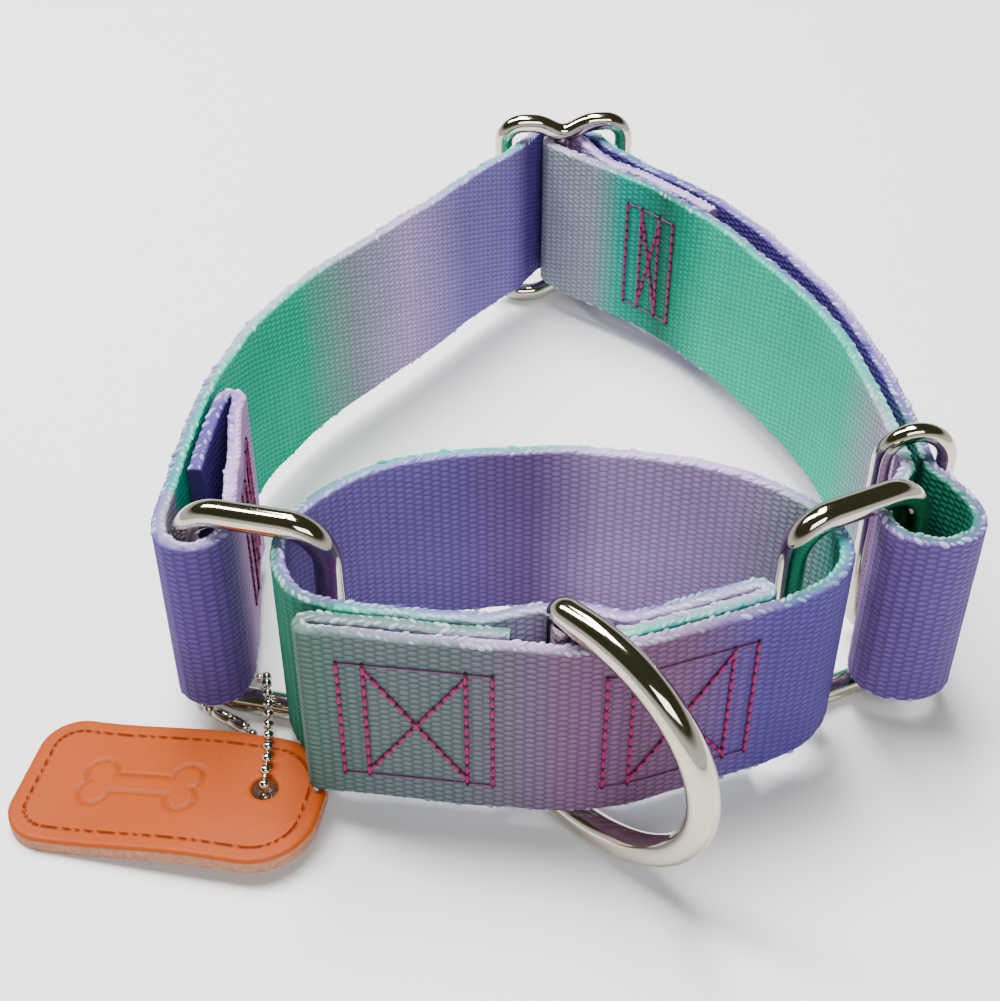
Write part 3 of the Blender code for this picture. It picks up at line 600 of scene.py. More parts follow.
class Rows:
    """Points for bodies that are set out along rows, each with its direction, crown, dye and size."""

    def __init__(self):
        self.points, self.ahead, self.out, self.dye, self.size = [], [], [], [], []

    def put(self, point, ahead, out, dye, size):
        self.points.append(tuple(point))
        self.ahead.append(tuple(Vector(ahead).normalized()))
        self.out.append(tuple(Vector(out).normalized()))
        self.dye.append((*dye, 1.0))
        self.size.append(size)

    def build(self, name, tree, mat, **sizes):
        obj = mesh_object(name, placed(self.points), [], None, [
            ("ahead", "FLOAT_VECTOR", self.ahead), ("out", "FLOAT_VECTOR", self.out),
            ("dye", "FLOAT_COLOR", self.dye), ("size", "FLOAT_VECTOR", self.size)])
        for key in ("Length", "Width", "Height"):
            sizes[key] *= MM
        return run_tree(obj, tree, Material=mat, **sizes)


# ---------------------------------------------------------------- materials
def new_material(name):
    mat = bpy.data.materials.new(name)
    mat.use_nodes = True
    nodes = Nodes(mat.node_tree)
    return mat, nodes, mat.node_tree.nodes["Principled BSDF"]


def mixed(nodes, factor, a, b, blend="MIX"):
    node = nodes.add("ShaderNodeMix", data_type="RGBA", blend_type=blend)
    nodes.feed(node.inputs["Factor"], factor)
    nodes.feed(node.inputs[6], a if isinstance(a, bpy.types.NodeSocket) else (*a, 1.0))
    nodes.feed(node.inputs[7], b if isinstance(b, bpy.types.NodeSocket) else (*b, 1.0))
    return node.outputs[2]


def value_of(nodes, name):
    return nodes.add("ShaderNodeAttribute", attribute_name=name).outputs["Fac"]


def woven_polyester():
    """Dyed yarn with painted shade in the gaps of the weave and a painted highlight on the crowns of the
    floats, with fine filaments along each float.
    """
    mat, nodes, shader = new_material("woven_polyester")
    along, across = value_of(nodes, "along"), value_of(nodes, "across")
    height = woven_height(nodes, along, across)
    face = value_of(nodes, "face")
    dye = nodes.add("ShaderNodeAttribute", attribute_name="dye").outputs["Color"]
    place = nodes.add("ShaderNodeCombineXYZ", {"X": nodes.math("MULTIPLY", along, 0.6),
                                               "Y": nodes.math("MULTIPLY", across, 9.0)}).outputs[0]
    filament = nodes.add("ShaderNodeTexNoise", {"Vector": place, "Scale": 1.0, "Detail": 3.0})
    patch = nodes.add("ShaderNodeTexNoise", {
        "Vector": nodes.add("ShaderNodeTexCoord").outputs["Object"], "Scale": 60.0, "Detail": 2.0})
    # Painted shade and highlight of the weave: the gaps fall to 0.55 of the yarn colour and the crowns of the
    # floats rise to 1.1 of it, while edges away from the faces stay at 1.
    depth = nodes.math("ADD", nodes.math("MULTIPLY", height, 0.55), 0.55)
    depth = nodes.math("ADD", nodes.math("MULTIPLY", nodes.math("SUBTRACT", depth, 1.0), face), 1.0)
    shade = nodes.math("MULTIPLY", depth, nodes.math("MULTIPLY_ADD", filament.outputs[0], 0.3, 0.85))
    shade = nodes.math("MULTIPLY", shade, nodes.math("MULTIPLY_ADD", patch.outputs[0], 0.24, 0.88))
    grey = nodes.add("ShaderNodeCombineXYZ", {"X": shade, "Y": shade, "Z": shade}).outputs[0]
    colour = mixed(nodes, 1.0, dye, grey, "MULTIPLY")
    nodes.feed(shader.inputs["Base Color"], colour)
    shader.inputs["Roughness"].default_value = 0.62
    shader.inputs["Specular IOR Level"].default_value = 0.12
    relief = nodes.math("ADD", nodes.math("MULTIPLY", nodes.math("MULTIPLY", height, face), 1.0),
                        nodes.math("MULTIPLY", filament.outputs[0], 0.35))
    bump = nodes.add("ShaderNodeBump", {"Height": relief, "Strength": 0.6, "Distance": 0.00022})
    nodes.feed(shader.inputs["Normal"], bump.outputs[0])
    return mat


def twisted_yarn(name, roughness, twist=1400.0, depth=0.35):
    """Yarn that takes its colour from "dye", with plies that show as fine slanting lines."""
    mat, nodes, shader = new_material(name)
    dye = nodes.add("ShaderNodeAttribute", attribute_name="dye").outputs["Color"]
    place = nodes.add("ShaderNodeTexCoord").outputs["Object"]
    noise = nodes.add("ShaderNodeTexNoise", {"Vector": place, "Scale": twist, "Detail": 2.0})
    shade = nodes.math("MULTIPLY_ADD", noise.outputs[0], depth * 2, 1.0 - depth)
    grey = nodes.add("ShaderNodeCombineXYZ", {"X": shade, "Y": shade, "Z": shade}).outputs[0]
    nodes.feed(shader.inputs["Base Color"], mixed(nodes, 1.0, dye, grey, "MULTIPLY"))
    shader.inputs["Roughness"].default_value = roughness
    shader.inputs["Specular IOR Level"].default_value = 0.2
    bump = nodes.add("ShaderNodeBump", {"Height": noise.outputs[0], "Strength": 0.5, "Distance": 0.0002})
    nodes.feed(shader.inputs["Normal"], bump.outputs[0])
    return mat


def nickel_plate():
    """Bright plate over a cast bar: slight waviness, faint rubbing marks."""
    mat, nodes, shader = new_material("nickel_plate")
    place = nodes.add("ShaderNodeTexCoord").outputs["Object"]
    wide = nodes.add("ShaderNodeTexNoise", {"Vector": place, "Scale": 90.0, "Detail": 1.0})
    fine = nodes.add("ShaderNodeTexNoise", {"Vector": place, "Scale": 900.0, "Detail": 4.0})
    nodes.feed(shader.inputs["Base Color"],
               mixed(nodes, wide.outputs[0], dyed(206, 198, 182), dyed(184, 176, 158)))
    shader.inputs["Metallic"].default_value = 1.0
    nodes.feed(shader.inputs["Roughness"], nodes.math("MULTIPLY_ADD", fine.outputs[0], 0.12, 0.02))
    bump = nodes.add("ShaderNodeBump", {"Height": wide.outputs[0], "Strength": 0.12, "Distance": 0.0006})
    nodes.feed(shader.inputs["Normal"], bump.outputs[0])
    return mat


def dyed_leather():
    """Smooth orange hide on the faces, raw brown fibre on the cut edges."""
    mat, nodes, shader = new_material("dyed_leather")
    place = nodes.add("ShaderNodeTexCoord").outputs["Object"]
    raw, pressed = value_of(nodes, "raw"), value_of(nodes, "pressed")
    cloud = nodes.add("ShaderNodeTexNoise", {"Vector": place, "Scale": 70.0, "Detail": 3.0})
    pores = nodes.add("ShaderNodeTexVoronoi", {"Vector": place, "Scale": 1500.0})
    fibre = nodes.add("ShaderNodeTexNoise", {"Vector": place, "Scale": 1100.0, "Detail": 4.0})
    hide = mixed(nodes, cloud.outputs[0], ORANGE, tuple(1.15 * v for v in ORANGE))
    hide = mixed(nodes, pressed, hide, RUST)
    edge = mixed(nodes, fibre.outputs[0], dyed(128, 80, 60), dyed(196, 140, 112))
    nodes.feed(shader.inputs["Base Color"], mixed(nodes, raw, hide, edge))
    nodes.feed(shader.inputs["Roughness"], nodes.math("MULTIPLY_ADD", raw, 0.35, 0.48))
    shader.inputs["Specular IOR Level"].default_value = 0.15
    height = nodes.math("ADD", nodes.math("MULTIPLY", pores.outputs[0], 0.5),
                        nodes.math("MULTIPLY", nodes.math("MULTIPLY", fibre.outputs[0], raw), 3.0))
    bump = nodes.add("ShaderNodeBump", {"Height": height, "Strength": 0.35, "Distance": 0.0002})
    nodes.feed(shader.inputs["Normal"], bump.outputs[0])
    return mat


# ---------------------------------------------------------------- hardware
def corner(centre, radius, start, end, steps=BEND_STEPS):
    """Points of an arc in the (reach, height) plane; angles in degrees."""
    out = []
    for i in range(steps + 1):
        angle = math.radians(start + (end - start) * i / steps)
        out.append((centre[0] + radius * math.cos(angle), centre[1] + radius * math.sin(angle)))
    return out


def upright(outline, at, turn):
    """A closed outline of (reach, height) pairs, stood up at a plan point and turned about Z."""
    angle = math.radians(turn)
    return [Vector((at[0] + r * math.cos(angle), at[1] + r * math.sin(angle), h)) for r, h in outline]


def sweep(points, radii, sides, closed, base=0):
    """Vertices and faces of a round bar along a 3-D path."""
    n = len(points)
    normal = (points[1] - points[0]).orthogonal().normalized()
    frames = []
    for i in range(n):
        ahead = points[(i + 1) % n] if closed or i < n - 1 else points[i]
        behind = points[i - 1] if closed or i else points[i]
        along = (ahead - behind).normalized()
        normal = (normal - along * normal.dot(along)).normalized()
        frames.append((along, normal))
    twist = 0.0
    if closed:
        along, start = frames[0]
        carried = (frames[-1][1] - along * frames[-1][1].dot(along)).normalized()
        twist = math.atan2(carried.cross(start).dot(along), carried.dot(start))
    verts = []
    for i, (along, normal) in enumerate(frames):
        side = along.cross(normal)
        for k in range(sides):
            angle = 2 * math.pi * k / sides + twist * i / n
            verts.append(points[i] + radii[i] * (math.cos(angle) * normal + math.sin(angle) * side))
    faces = []
    for i in range(n if closed else n - 1):
        j = (i + 1) % n
        for k in range(sides):
            m = (k + 1) % sides
            faces.append([base + v for v in (i * sides + k, i * sides + m, j * sides + m, j * sides + k)])
    if not closed:
        faces.append([base + v for v in reversed(range(sides))])
        faces.append([base + v for v in range((n - 1) * sides, n * sides)])
    return verts, faces


def bar_ring(name, outline, at, turn, wire, mat, extra=()):
    """A closed round bar through an upright outline; extra holds straight bars between its sides."""
    path = upright(outline, at, turn)
    verts, faces = sweep(path, [wire / 2] * len(path), BAR_SIDES, True)
    for ends, radius in extra:
        more, more_faces = sweep(ends, [radius] * len(ends), BAR_SIDES, False, len(verts))
        verts += more
        faces += more_faces
    return mesh_object(name, placed(verts), faces, mat)


def ring_outline():
    low = RING_WIRE / 2 + RING_CORNER
    high = RING_HEIGHT - low
    near, far = RING_CORNER, RING_SPAN - RING_CORNER
    outline = corner((far, high), RING_CORNER, 90, 0) + corner((far, low), RING_CORNER, 0, -90)
    return outline + corner((near, low), RING_CORNER, 270, 180) + corner((near, high), RING_CORNER, 180, 90)


def d_outline():
    half = (D_HEIGHT - D_WIRE) / 2
    middle = D_HEIGHT / 2
    bow = []
    for i in range(61):
        angle = math.radians(90 - 180 * i / 60)
        bow.append((D_SHOULDER + (D_REACH - D_SHOULDER) * math.cos(angle), middle + half * math.sin(angle)))
    nose = 1.2
    upper = corner((nose, middle + half - nose), nose, 180, 90, 6)[1:]
    lower = corner((nose, middle - half + nose), nose, 270, 180, 6)[:-1]
    return upper + bow + lower + [(0, middle - half + nose), (0, middle), (0, middle + half - nose)]


def slide_outline():
    half = SLIDE_SPAN / 2
    low = SLIDE_WIRE / 2
    high = SLIDE_HEIGHT - low
    inner = half - SLIDE_CORNER

    def rail(level, inward):
        out = []
        for i in range(41):
            reach = inner - 2 * inner * i / 40
            drop = SLIDE_DIP * math.cos(math.pi * reach / (2 * inner)) ** 4
            out.append((reach, level + inward * drop))
        return out

    outline = corner((inner, high - SLIDE_CORNER), SLIDE_CORNER, 0, 90)[:-1] + rail(high, -1)
    outline += corner((-inner, high - SLIDE_CORNER), SLIDE_CORNER, 90, 180)[1:]
    outline += corner((-inner, low + SLIDE_CORNER), SLIDE_CORNER, 180, 270)[:-1]
    outline += list(reversed(rail(low, 1)))
    return outline + corner((inner, low + SLIDE_CORNER), SLIDE_CORNER, 270, 360)[1:]


def hardware(plate, keeper_turn):
    """The five plated pieces, each on its own body."""
    radius = (KEEPER_OPENING + KEEPER_WIRE) / 2
    low = KEEPER_WIRE / 2 + radius
    keeper_outline = corner((0, KEEPER_HEIGHT - low), radius, 0, 180, 32)
    keeper_outline += corner((0, low), radius, 180, 360, 32)
    bottom = SLIDE_WIRE / 2 + SLIDE_DIP
    centre_bar = [Vector((*SLIDE_AT, bottom)), Vector((*SLIDE_AT, SLIDE_HEIGHT - bottom))]
    for name, outline, at, turn, wire, extra in (
            ("left_ring", ring_outline(), LEFT_RING_AT, LEFT_RING_TURN, RING_WIRE, ()),
            ("right_ring", ring_outline(), RIGHT_RING_AT, RIGHT_RING_TURN, RING_WIRE, ()),
            ("d_ring", d_outline(), D_AT, D_TURN, D_WIRE, ()),
            ("slide", slide_outline(), SLIDE_AT, SLIDE_TURN, SLIDE_WIRE, [(centre_bar, SLIDE_BAR / 2)]),
            ("keeper", keeper_outline, KEEPER_AT, keeper_turn, KEEPER_WIRE, ())):
        obj = bar_ring("plated_" + name, outline, at, turn, wire, plate, extra)
        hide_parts(name)
        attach(obj, name)


# ---------------------------------------------------------------- chain and tag
CHAIN_ROUTE = [
    (-44.6, -57.8, 1.25), (-42.6, -61.0, 1.25), (-40.6, -65.5, 1.2), (-39.8, -69.5, 1.2),
    (-39.6, -72.6, 1.35),
    (-39.6, -75.0, 2.8), (-39.6, -75.3, 4.6), (-39.6, -74.6, 6.5), (-39.6, -72.4, 7.3), (-39.6, -69.5, 7.3),
    (-39.8, -66.0, 7.3), (-40.3, -62.0, 7.2), (-40.7, -58.0, 6.9), (-41.2, -54.4, 6.7), (-41.7, -51.6, 6.7),
    (-42.1, -48.8, 5.9), (-42.8, -46.7, 3.9), (-44.2, -45.2, 2.0), (-46.8, -44.2, 1.25), (-50.2, -43.9, 1.25),
    (-53.6, -45.0, 1.25), (-55.4, -47.6, 1.25), (-54.6, -50.8, 1.25), (-52.1, -53.0, 1.25)]


def chain(plate, tree):
    """Round beads on short links, and the folded barrel that joins the chain's ends."""
    path = spline(CHAIN_ROUTE, 0.15)
    total = lengths(path)
    count = round((total[-1] - BEAD) / BEAD_PITCH)
    pitch = (total[-1] - BEAD) / count
    beads, links = Rows(), Rows()
    for i in range(count + 1):
        point, ahead = point_at(path, BEAD / 2 + i * pitch, total)
        beads.put(point, ahead, ahead.orthogonal(), PALE, (1.0, 1.0, 1.0))
        if i < count:
            point, ahead = point_at(path, BEAD / 2 + (i + 0.5) * pitch, total)
            links.put(point, ahead, ahead.orthogonal(), PALE, (1.0, 1.0, 1.0))
    strung = beads.build("chain_beads", tree, plate, Length=BEAD, Width=BEAD, Height=BEAD,
                         Sides=14, Rings=10, Unevenness=0.02, Seed=4)
    wires = links.build("chain_links", tree, plate, Length=BEAD_PITCH * 0.8, Width=LINK_WIRE * 0.8,
                        Height=LINK_WIRE * 0.8, Sides=8, Rings=6, Unevenness=0.0, Seed=4)
    a, b = Vector(CHAIN_ROUTE[-1]), Vector(CHAIN_ROUTE[0])
    a.z = b.z = CONNECTOR / 2 + 0.1
    along = (b - a).normalized()
    length = (b - a).length - 2 * GAP
    profile = [(0.0, 0.5), (0.02, 0.7), (0.07, 0.88), (0.14, 0.97), (0.24, 1.0), (0.44, 1.0), (0.46, 0.93),
               (0.54, 0.93), (0.56, 1.0), (0.76, 1.0), (0.86, 0.97), (0.93, 0.88), (0.98, 0.7), (1.0, 0.5)]
    points = [a + along * (GAP + length * t) for t, _ in profile]
    verts, faces = sweep(points, [CONNECTOR / 2 * BARREL_SHARE * r for _, r in profile], 24, False)
    barrel = mesh_object("chain_barrel", placed(verts), faces, plate)
    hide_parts("bead_chain")
    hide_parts("chain_connector")
    for obj in (strung, wires, barrel):
        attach(obj, "tag_chain")


def tag_outline(inset=0.0):
    """Outline of the tag, moved in by an inset, counter-clockwise from the right."""
    half, side = TAG_LENGTH / 2 - inset, TAG_WIDTH / 2 - inset
    big, small = TAG_RIGHT_RADIUS - inset, TAG_LEFT_RADIUS - inset
    corners = [((half - big, side - big), big, 0), ((small - half, side - small), small, 90),
               ((small - half, small - side), small, 180), ((half - big, big - side), big, 270)]
    out = []
    for centre, radius, start in corners:
        out += corner(centre, radius, start, start + 90, 18)
    dense = []
    for (x0, y0), (x1, y1) in zip(out, out[1:] + out[:1]):
        steps = max(1, round(math.hypot(x1 - x0, y1 - y0) / 0.8))
        dense += [(x0 + (x1 - x0) * i / steps, y0 + (y1 - y0) * i / steps) for i in range(steps)]
    return np.array([p for i, p in enumerate(dense) if math.dist(p, dense[i - 1]) > 0.05])


def bone_distance(x, y):
    """Distance from the outline of a bone, negative inside."""
    x = x + 5.5
    reach = np.maximum(np.abs(x) - 7.0, 0.0)
    shaft = np.hypot(reach, y) - 1.9
    knob = np.hypot(np.abs(x) - 8.0, np.abs(y) - 2.2) - 2.7
    return np.minimum(shaft, knob)


def tag_height_at(x):
    t = np.clip((x - TAG_LIFT_START) / TAG_LIFT_LENGTH, 0, 1)
    return TAG_LIFT * t * t * (3 - 2 * t)


def leather_tag(mat):
    """Leather plate: rounded faces, a pressed border of dashes, a pressed bone and raw edges."""
    rings = [tag_outline(i) for i in (0.0, 0.2, 0.5, 1.0, 1.7, 2.45, 2.7, 2.95, 3.2, 3.6)]
    hole = [np.array(corner(TAG_HOLE_MIDDLE, TAG_HOLE / 2 + grow, 0, 360, 40)[:-1])
            for grow in (0.0, 0.2, 0.5, 1.0)]
    gx, gy = np.meshgrid(np.arange(-27, 27, 0.42), np.arange(-13.5, 13.5, 0.42))
    grid = np.stack([gx.ravel(), gy.ravel()], 1)
    grid[:, 0] += np.where(np.round(grid[:, 1] / 0.42) % 2 > 0, 0.2, 0.0)
    inner_rim = rings[-1]
    off = np.min(np.linalg.norm(grid[:, None] - inner_rim[None, ::2], axis=2), axis=1)
    box = (np.abs(grid[:, 0]) < TAG_LENGTH / 2 - 3.6) & (np.abs(grid[:, 1]) < TAG_WIDTH / 2 - 3.6)
    rim_gap = np.min(np.linalg.norm(grid[:, None] - rings[0][None, ::2], axis=2), axis=1)
    clear = np.linalg.norm(grid - TAG_HOLE_MIDDLE, axis=1) > TAG_HOLE / 2 + 1.3
    grid = grid[(off > 0.3) & box & clear & (rim_gap > 3.8)]
    points = np.concatenate([*rings, *hole, grid])
    found = delaunay_2d_cdt([Vector(p) for p in points], [], [], 0, 1e-5)
    flat = np.array([tuple(v) for v in found[0]])
    triangles = np.array(found[2])
    middle = flat[triangles].mean(1)
    rim = rings[0]
    edges = np.roll(rim, -1, 0) - rim
    away = middle[:, None] - rim[None]
    inside = (edges[None, :, 0] * away[..., 1] - edges[None, :, 1] * away[..., 0] > -1e-4).all(1)
    keep = inside & (np.linalg.norm(middle - TAG_HOLE_MIDDLE, axis=1) > TAG_HOLE / 2 - 0.01)
    triangles = triangles[keep]
    rim_away = np.linalg.norm(flat[:, None] - rim[None], axis=2)
    nearest = rim_away.argmin(1)
    to_rim = rim_away.min(1)
    run = np.concatenate([[0], np.cumsum(np.linalg.norm(np.diff(rim, axis=0), axis=1))])[nearest]
    to_hole = np.linalg.norm(flat - TAG_HOLE_MIDDLE, axis=1) - TAG_HOLE / 2
    dash = (np.abs(to_rim - 2.82) < 0.2) & ((run % 2.1) < 1.45) & (to_hole > 0.6)
    bone = np.clip(1.0 - np.abs(bone_distance(flat[:, 0], flat[:, 1])) / 0.55, 0, 1) ** 0.7
    rounding = 0.35 * np.clip(1 - to_rim / 0.6, 0, 1) ** 2 + 0.3 * np.clip(1 - to_hole / 0.55, 0, 1) ** 2
    top = TAG_THICK - rounding - 0.3 * dash - 0.32 * bone
    under = rounding * 0.4
    lift = tag_height_at(flat[:, 0])
    n = len(flat)
    pressed = np.clip(dash * 0.9 + bone * 0.35, 0, 1)

    def loop_of(ring):
        return [int(np.linalg.norm(flat - p, axis=1).argmin()) for p in ring]

    verts = [(x, y, z) for (x, y), z in zip(flat, top + lift)]
    verts += [(x, y, z) for (x, y), z in zip(flat, under + lift)]
    faces = [list(map(int, t)) for t in triangles] + [[int(v) + n for v in t[::-1]] for t in triangles]
    raw = [0.0] * n + [0.75] * n
    pressed = list(pressed) + [0.0] * n
    for ring, flip in ((rim, False), (hole[0], True)):
        loop = loop_of(ring)
        levels = [0.2, 0.5, 0.8]
        layers = [loop]
        for level in levels:
            row = []
            for v in loop:
                z = verts[v][2] * (1 - level) + verts[v + n][2] * level
                row.append(len(verts))
                verts.append((*verts[v][:2], z))
                raw.append(1.0)
                pressed.append(0.0)
            layers.append(row)
        layers.append([v + n for v in loop])
        for upper, lower in zip(layers, layers[1:]):
            for i in range(len(loop)):
                j = (i + 1) % len(loop)
                quad = [upper[i], lower[i], lower[j], upper[j]]
                faces.append(quad[::-1] if flip else quad)
    angle = math.radians(TAG_TURN)
    c, s = math.cos(angle), math.sin(angle)
    turned = [(TAG_HOLE_PLACE[0] + (x - TAG_HOLE_AT) * c - (y - TAG_HOLE_SIDE) * s,
               TAG_HOLE_PLACE[1] + (x - TAG_HOLE_AT) * s + (y - TAG_HOLE_SIDE) * c, z) for x, y, z in verts]
    obj = mesh_object("tag_hide", placed(turned), faces, mat, [
        ("raw", "FLOAT", raw), ("pressed", "FLOAT", pressed)], sharp=40)
    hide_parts("leather_tag")
    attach(obj, "leather_tag")


# ---------------------------------------------------------------- stitching
def box_rows(start, end):
    """Rows of a sewn box in (along, height) pairs, each with whether it lies sunk in the webbing."""
    low = (WEB_BOTTOM + WEB_TOP - BOX_HEIGHT) / 2
    high = low + BOX_HEIGHT
    near, far = start + ROW_STEP, end - ROW_STEP
    return [((start, low), (start, high), False), ((near, high), (near, low), False),
            ((near, low + 1.0), (far, high - 1.0), False), ((far, high), (far, low), False),
            ((near, high - 1.0), (far, low + 1.0), False), ((end, low), (end, high), False),
            ((start, low), (end, low), True), ((start, high), (end, high), True)]


def box_stitch(name, body, face, start, end, outward, tree, thread):
    """Stitches on one face of the webbing; face is the webbing's middle line."""
    rows = Rows()
    total = lengths(face)
    for a, b, sunk in box_rows(start, end):
        a, b = Vector(a), Vector(b)
        count = max(1, round((b - a).length / STITCH))
        way = (b - a).normalized()
        for i in range(2 * count + 1):
            mark = a.lerp(b, i / (2 * count))
            point, along = point_at(face, mark.x, total)
            out = Vector((-along.y, along.x, 0)) * outward
            ahead = Vector((along.x * way.x, along.y * way.x, way.y))
            dip = i % 2 == 0
            rise = WEB_THICK / 2 + (0.2 if dip else 0.26) - (0.12 if sunk else 0.0)
            size = (0.5, 0.9, 0.9) if dip else (0.86, 1.0, 1.0)
            if sunk:
                size = tuple(v * k for v, k in zip(size, (1.0, 0.5, 0.7)))
            # At each dip the thread takes the dark colour, which is painted shade where it sinks into its
            # hole.
            dye = SUNK_THREAD if sunk else THREAD_DIP_SHADE if dip else PINK_THREAD
            rows.put((point.x + out.x * rise, point.y + out.y * rise, mark.y), ahead, out, dye, size)
    obj = rows.build(name, tree, thread, Length=STITCH * 1.02, Width=0.78, Height=0.58,
                     Sides=8, Rings=6, Unevenness=0.08, Seed=7)
    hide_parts(name.replace("sewn_", "stitch_"))
    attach(obj, body)
    return obj


# ---------------------------------------------------------------- the collar
def webbing(weaving, setting_out):
    woven = woven_polyester()
    fringe = twisted_yarn("selvedge_yarn", 0.75)
    thread = twisted_yarn("bonded_thread", 0.5, 2200.0, 0.2)
    inner, slide_loop, inner_run, ring_loop, outer_run, left_run, left_loop = neck_paths()
    front, back, outer, round_trip, inner_layer = control_paths()
    total = lengths(round_trip)[-1]
    right_bend, back_run, left_bend = (cut(round_trip, a, b) for a, b in (
        (0.0, 58.0), (58.0, total - 58.0), (total - 58.0, total)))
    # Colour keys along each strip's left and right faces; the lifted violet keys near the neck crease, at the
    # back run's end and on the left bend are painted light where those faces lie in shade.
    strips = [
        ("neck_slide_loop", "neck_right", slide_loop, [(0, LILAC), (0.55, LILAC), (1, VIOLET)],
         [(0, LILAC), (0.5, INDIGO), (0.72, MIST), (0.9, MIST), (1, AQUA)]),
        ("neck_inner_run", "neck_right", inner_run, [(0, INDIGO), (0.5, INDIGO), (1, MINT)],
         [(0, AQUA), (0.12, JADE), (0.25, MINT), (0.6, MINT), (0.72, MINT), (0.88, MIST), (1, LILAC)]),
        ("neck_ring_loop", "neck_right", ring_loop, [(0, JADE), (0.4, JADE), (1, JADE)],
         [(0, LILAC), (0.25, PLUM), (0.45, VIOLET), (0.7, VIOLET), (0.85, PLUM), (1, VIOLET)]),
        ("neck_outer_run", "neck_right", outer_run, [(0, JADE), (0.15, INDIGO), (0.75, INDIGO), (1, INDIGO)],
         [(0, VIOLET), (0.4, LILAC), (0.7, INDIGO), (0.85, MINT), (1, LILAC)]),
        ("neck_left_run", "neck_left", left_run,
         [(0, VIOLET), (0.05, PAINTED_LIGHT_VIOLET), (0.16, PAINTED_LIGHT_VIOLET), (0.3, LILAC), (0.42, MIST), (0.54, MINT), (0.72, MINT),
          (1, MINT)],
         [(0, MINT), (0.3, MIST), (0.6, LILAC), (0.85, VIOLET), (1, INDIGO)]),
        ("neck_left_loop", "neck_left", left_loop, [(0, MIST), (0.4, LILAC), (0.72, INDIGO), (1, INDIGO)],
         [(0, INDIGO), (0.28, VIOLET), (0.4, PINK), (0.72, PINK), (0.8, INDIGO), (1, INDIGO)]),
        ("control_outer_layer", "control_loop", outer, [(0, MIST), (0.3, SAGE), (0.6, LILAC), (1, SAGE)],
         [(0, JADE), (0.32, MOSS), (0.42, SAGE), (0.52, SAGE), (0.7, MAUVE), (0.85, MAUVE), (0.94, VIOLET),
          (1, INDIGO)]),
        ("control_right_bend", "control_loop", right_bend,
         [(0, JADE), (0.35, AQUA), (0.6, MIST), (0.8, LILAC), (1, LILAC)],
         [(0, INDIGO), (0.5, INDIGO), (1, LILAC)]),
        ("control_back_run", "control_loop", back_run, [(0, LILAC), (0.3, LILAC), (0.6, PLUM), (1, PAINTED_LIGHT_VIOLET)],
         [(0, LILAC), (0.6, MINT), (1, MINT)]),
        ("control_left_bend", "control_loop", left_bend, [(0, PAINTED_LIGHT_VIOLET), (0.4, PAINTED_LIGHT_VIOLET), (1, VIOLET)],
         [(0, MINT), (0.5, JADE), (1, JADE)]),
        ("control_inner_layer", "control_loop", inner_layer, [(0, INDIGO), (0.5, VIOLET), (1, MINT)],
         [(0, MINT), (0.4, LILAC), (1, MIST)]),
    ]
    start = {"neck_right": 0.0, "neck_left": 0.0, "control_loop": 0.0}
    laid = []
    for i, (node, body, path, left, right) in enumerate(strips):
        strip = Strip("woven_" + node, path, left, right, start[body], 1.0 + i * 1.37)
        start[body] += STATION * (len(strip.s) - 1)
        laid.append((node, body, strip))
    for (_, one, a), (_, other, b) in zip(laid, laid[1:]):
        if one == other:
            join_ends(a, b)
    for node, body, strip in laid:
        cloth = strip.build(weaving, woven)
        loops = strip.selvedge(setting_out, fringe)
        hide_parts(node)
        for obj in (cloth, loops):
            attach(obj, body)
    left_length = lengths(left_run)[-1]
    fold = left_length - LEFT_SEWN
    inside = beside(left_run, lambda s: 2 * LEFT_PITCH + LEFT_FLARE * ease(s, fold, left_length - 6.0))
    boxes = [("control_left_front", "control_loop", front, 4.6, 29.7, -1),
             ("control_right_front", "control_loop", front, 47.6, 73.4, -1),
             ("control_left_back", "control_loop", back, 4.6 - INNER_START, 29.7 - INNER_START, 1),
             ("control_right_back", "control_loop", back, 47.6 - INNER_START, 73.4 - INNER_START, 1),
             ("slide_end_inside", "neck_right", inner, 24.5, 38.5, -1),
             ("slide_end_outside", "neck_right", beside(inner, PITCH), 26.2, 41.0, 1),
             ("left_end_outside", "neck_left", left_run, fold + 3.0, left_length - 8.5, -1),
             ("left_end_inside", "neck_left", inside, fold + 3.0, left_length - 8.5, 1)]
    for name, body, face, start_at, end_at, outward in boxes:
        box_stitch("sewn_" + name, body, face, start_at, end_at, outward, setting_out, thread)
    way = point_at(inner, lengths(inner)[-1])[1]
    return math.degrees(math.atan2(way.y, way.x)) + 90


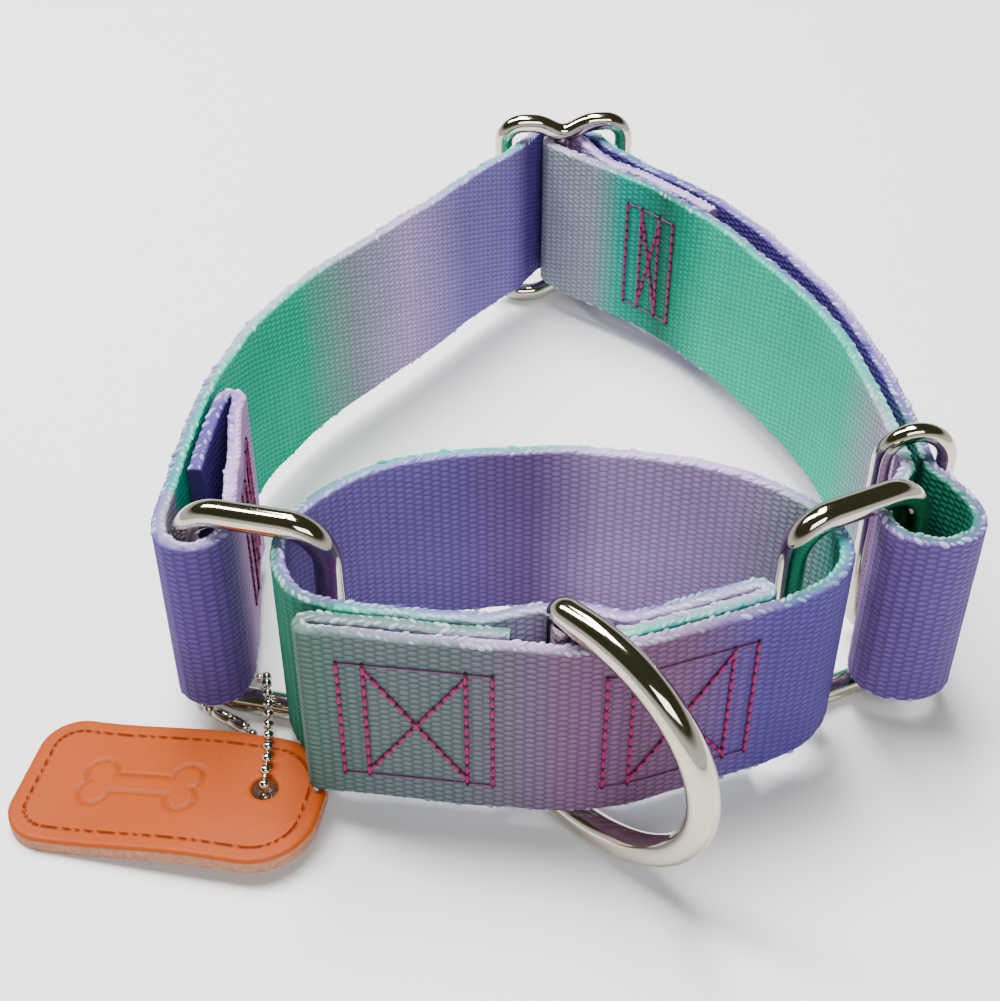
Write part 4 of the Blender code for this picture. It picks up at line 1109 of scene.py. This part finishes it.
def room():
    """Pale floor, pale walls with a dim ceiling, and soft boxes for windows."""
    size = 3.0
    corners = [(-size, -size, 0), (size, -size, 0), (size, size, 0), (-size, size, 0)]
    floor = mesh_object("floor", corners, [(0, 1, 2, 3)])
    mat, nodes, shader = new_material("pale_floor")
    place = nodes.add("ShaderNodeTexCoord").outputs["Object"]
    noise = nodes.add("ShaderNodeTexNoise", {"Vector": place, "Scale": 3.0})
    nodes.feed(shader.inputs["Base Color"],
               mixed(nodes, noise.outputs[0], (0.88, 0.88, 0.885), (0.91, 0.91, 0.915)))
    shader.inputs["Roughness"].default_value = 0.7
    floor.data.materials.append(mat)
    world = bpy.data.worlds.new("room")
    bpy.context.scene.world = world
    world.use_nodes = True
    nodes = Nodes(world.node_tree)
    direction = nodes.add("ShaderNodeTexCoord").outputs["Generated"]
    height = nodes.add("ShaderNodeSeparateXYZ", {"Vector": direction}).outputs["Z"]
    ramp = nodes.add("ShaderNodeValToRGB", {"Fac": height})
    ramp.color_ramp.elements[0].position = 0.0
    ramp.color_ramp.elements[0].color = (1.0, 1.0, 1.02, 1)
    ramp.color_ramp.elements[1].position = 0.42
    ramp.color_ramp.elements[1].color = (0.06, 0.06, 0.035, 1)
    middle = ramp.color_ramp.elements.new(0.2)
    middle.color = (0.9, 0.9, 0.92, 1)
    background = world.node_tree.nodes["Background"]
    nodes.feed(background.inputs["Color"], ramp.outputs[0])
    background.inputs["Strength"].default_value = 1.0
    for name, at, size_x, size_y, power in (
            ("window_left", (-0.55, 0.25, 1.15), 0.3, 0.8, 26.0),
            ("window_right", (-0.05, 0.35, 1.2), 0.3, 0.8, 26.0),
            ("fill_front", (0.3, -1.2, 1.1), 0.9, 0.5, 12.0)):
        lamp = bpy.data.lights.new(name, "AREA")
        lamp.shape = "RECTANGLE"
        lamp.size, lamp.size_y, lamp.energy = size_x, size_y, power
        obj = bpy.data.objects.new(name, lamp)
        obj.location = at
        obj.rotation_euler = (-Vector(at)).to_track_quat("-Z", "Y").to_euler()
        bpy.context.scene.collection.objects.link(obj)


def camera():
    lens = bpy.data.cameras.new("camera")
    lens.lens, lens.sensor_width = 57.6, 36.0
    lens.clip_start, lens.clip_end = 0.01, 20.0
    obj = bpy.data.objects.new("camera", lens)
    obj.location = placed((1.0, -255.0, 221.0))
    obj.rotation_euler = (math.radians(50.1), 0, 0)
    bpy.context.scene.collection.objects.link(obj)
    bpy.context.scene.camera = obj


camera()
room()
weaving, setting_out = weaving_tree(), setting_out_tree()
keeper_turn = webbing(weaving, setting_out)
plate = nickel_plate()
hardware(plate, keeper_turn)
chain(plate, setting_out)
leather_tag(dyed_leather())
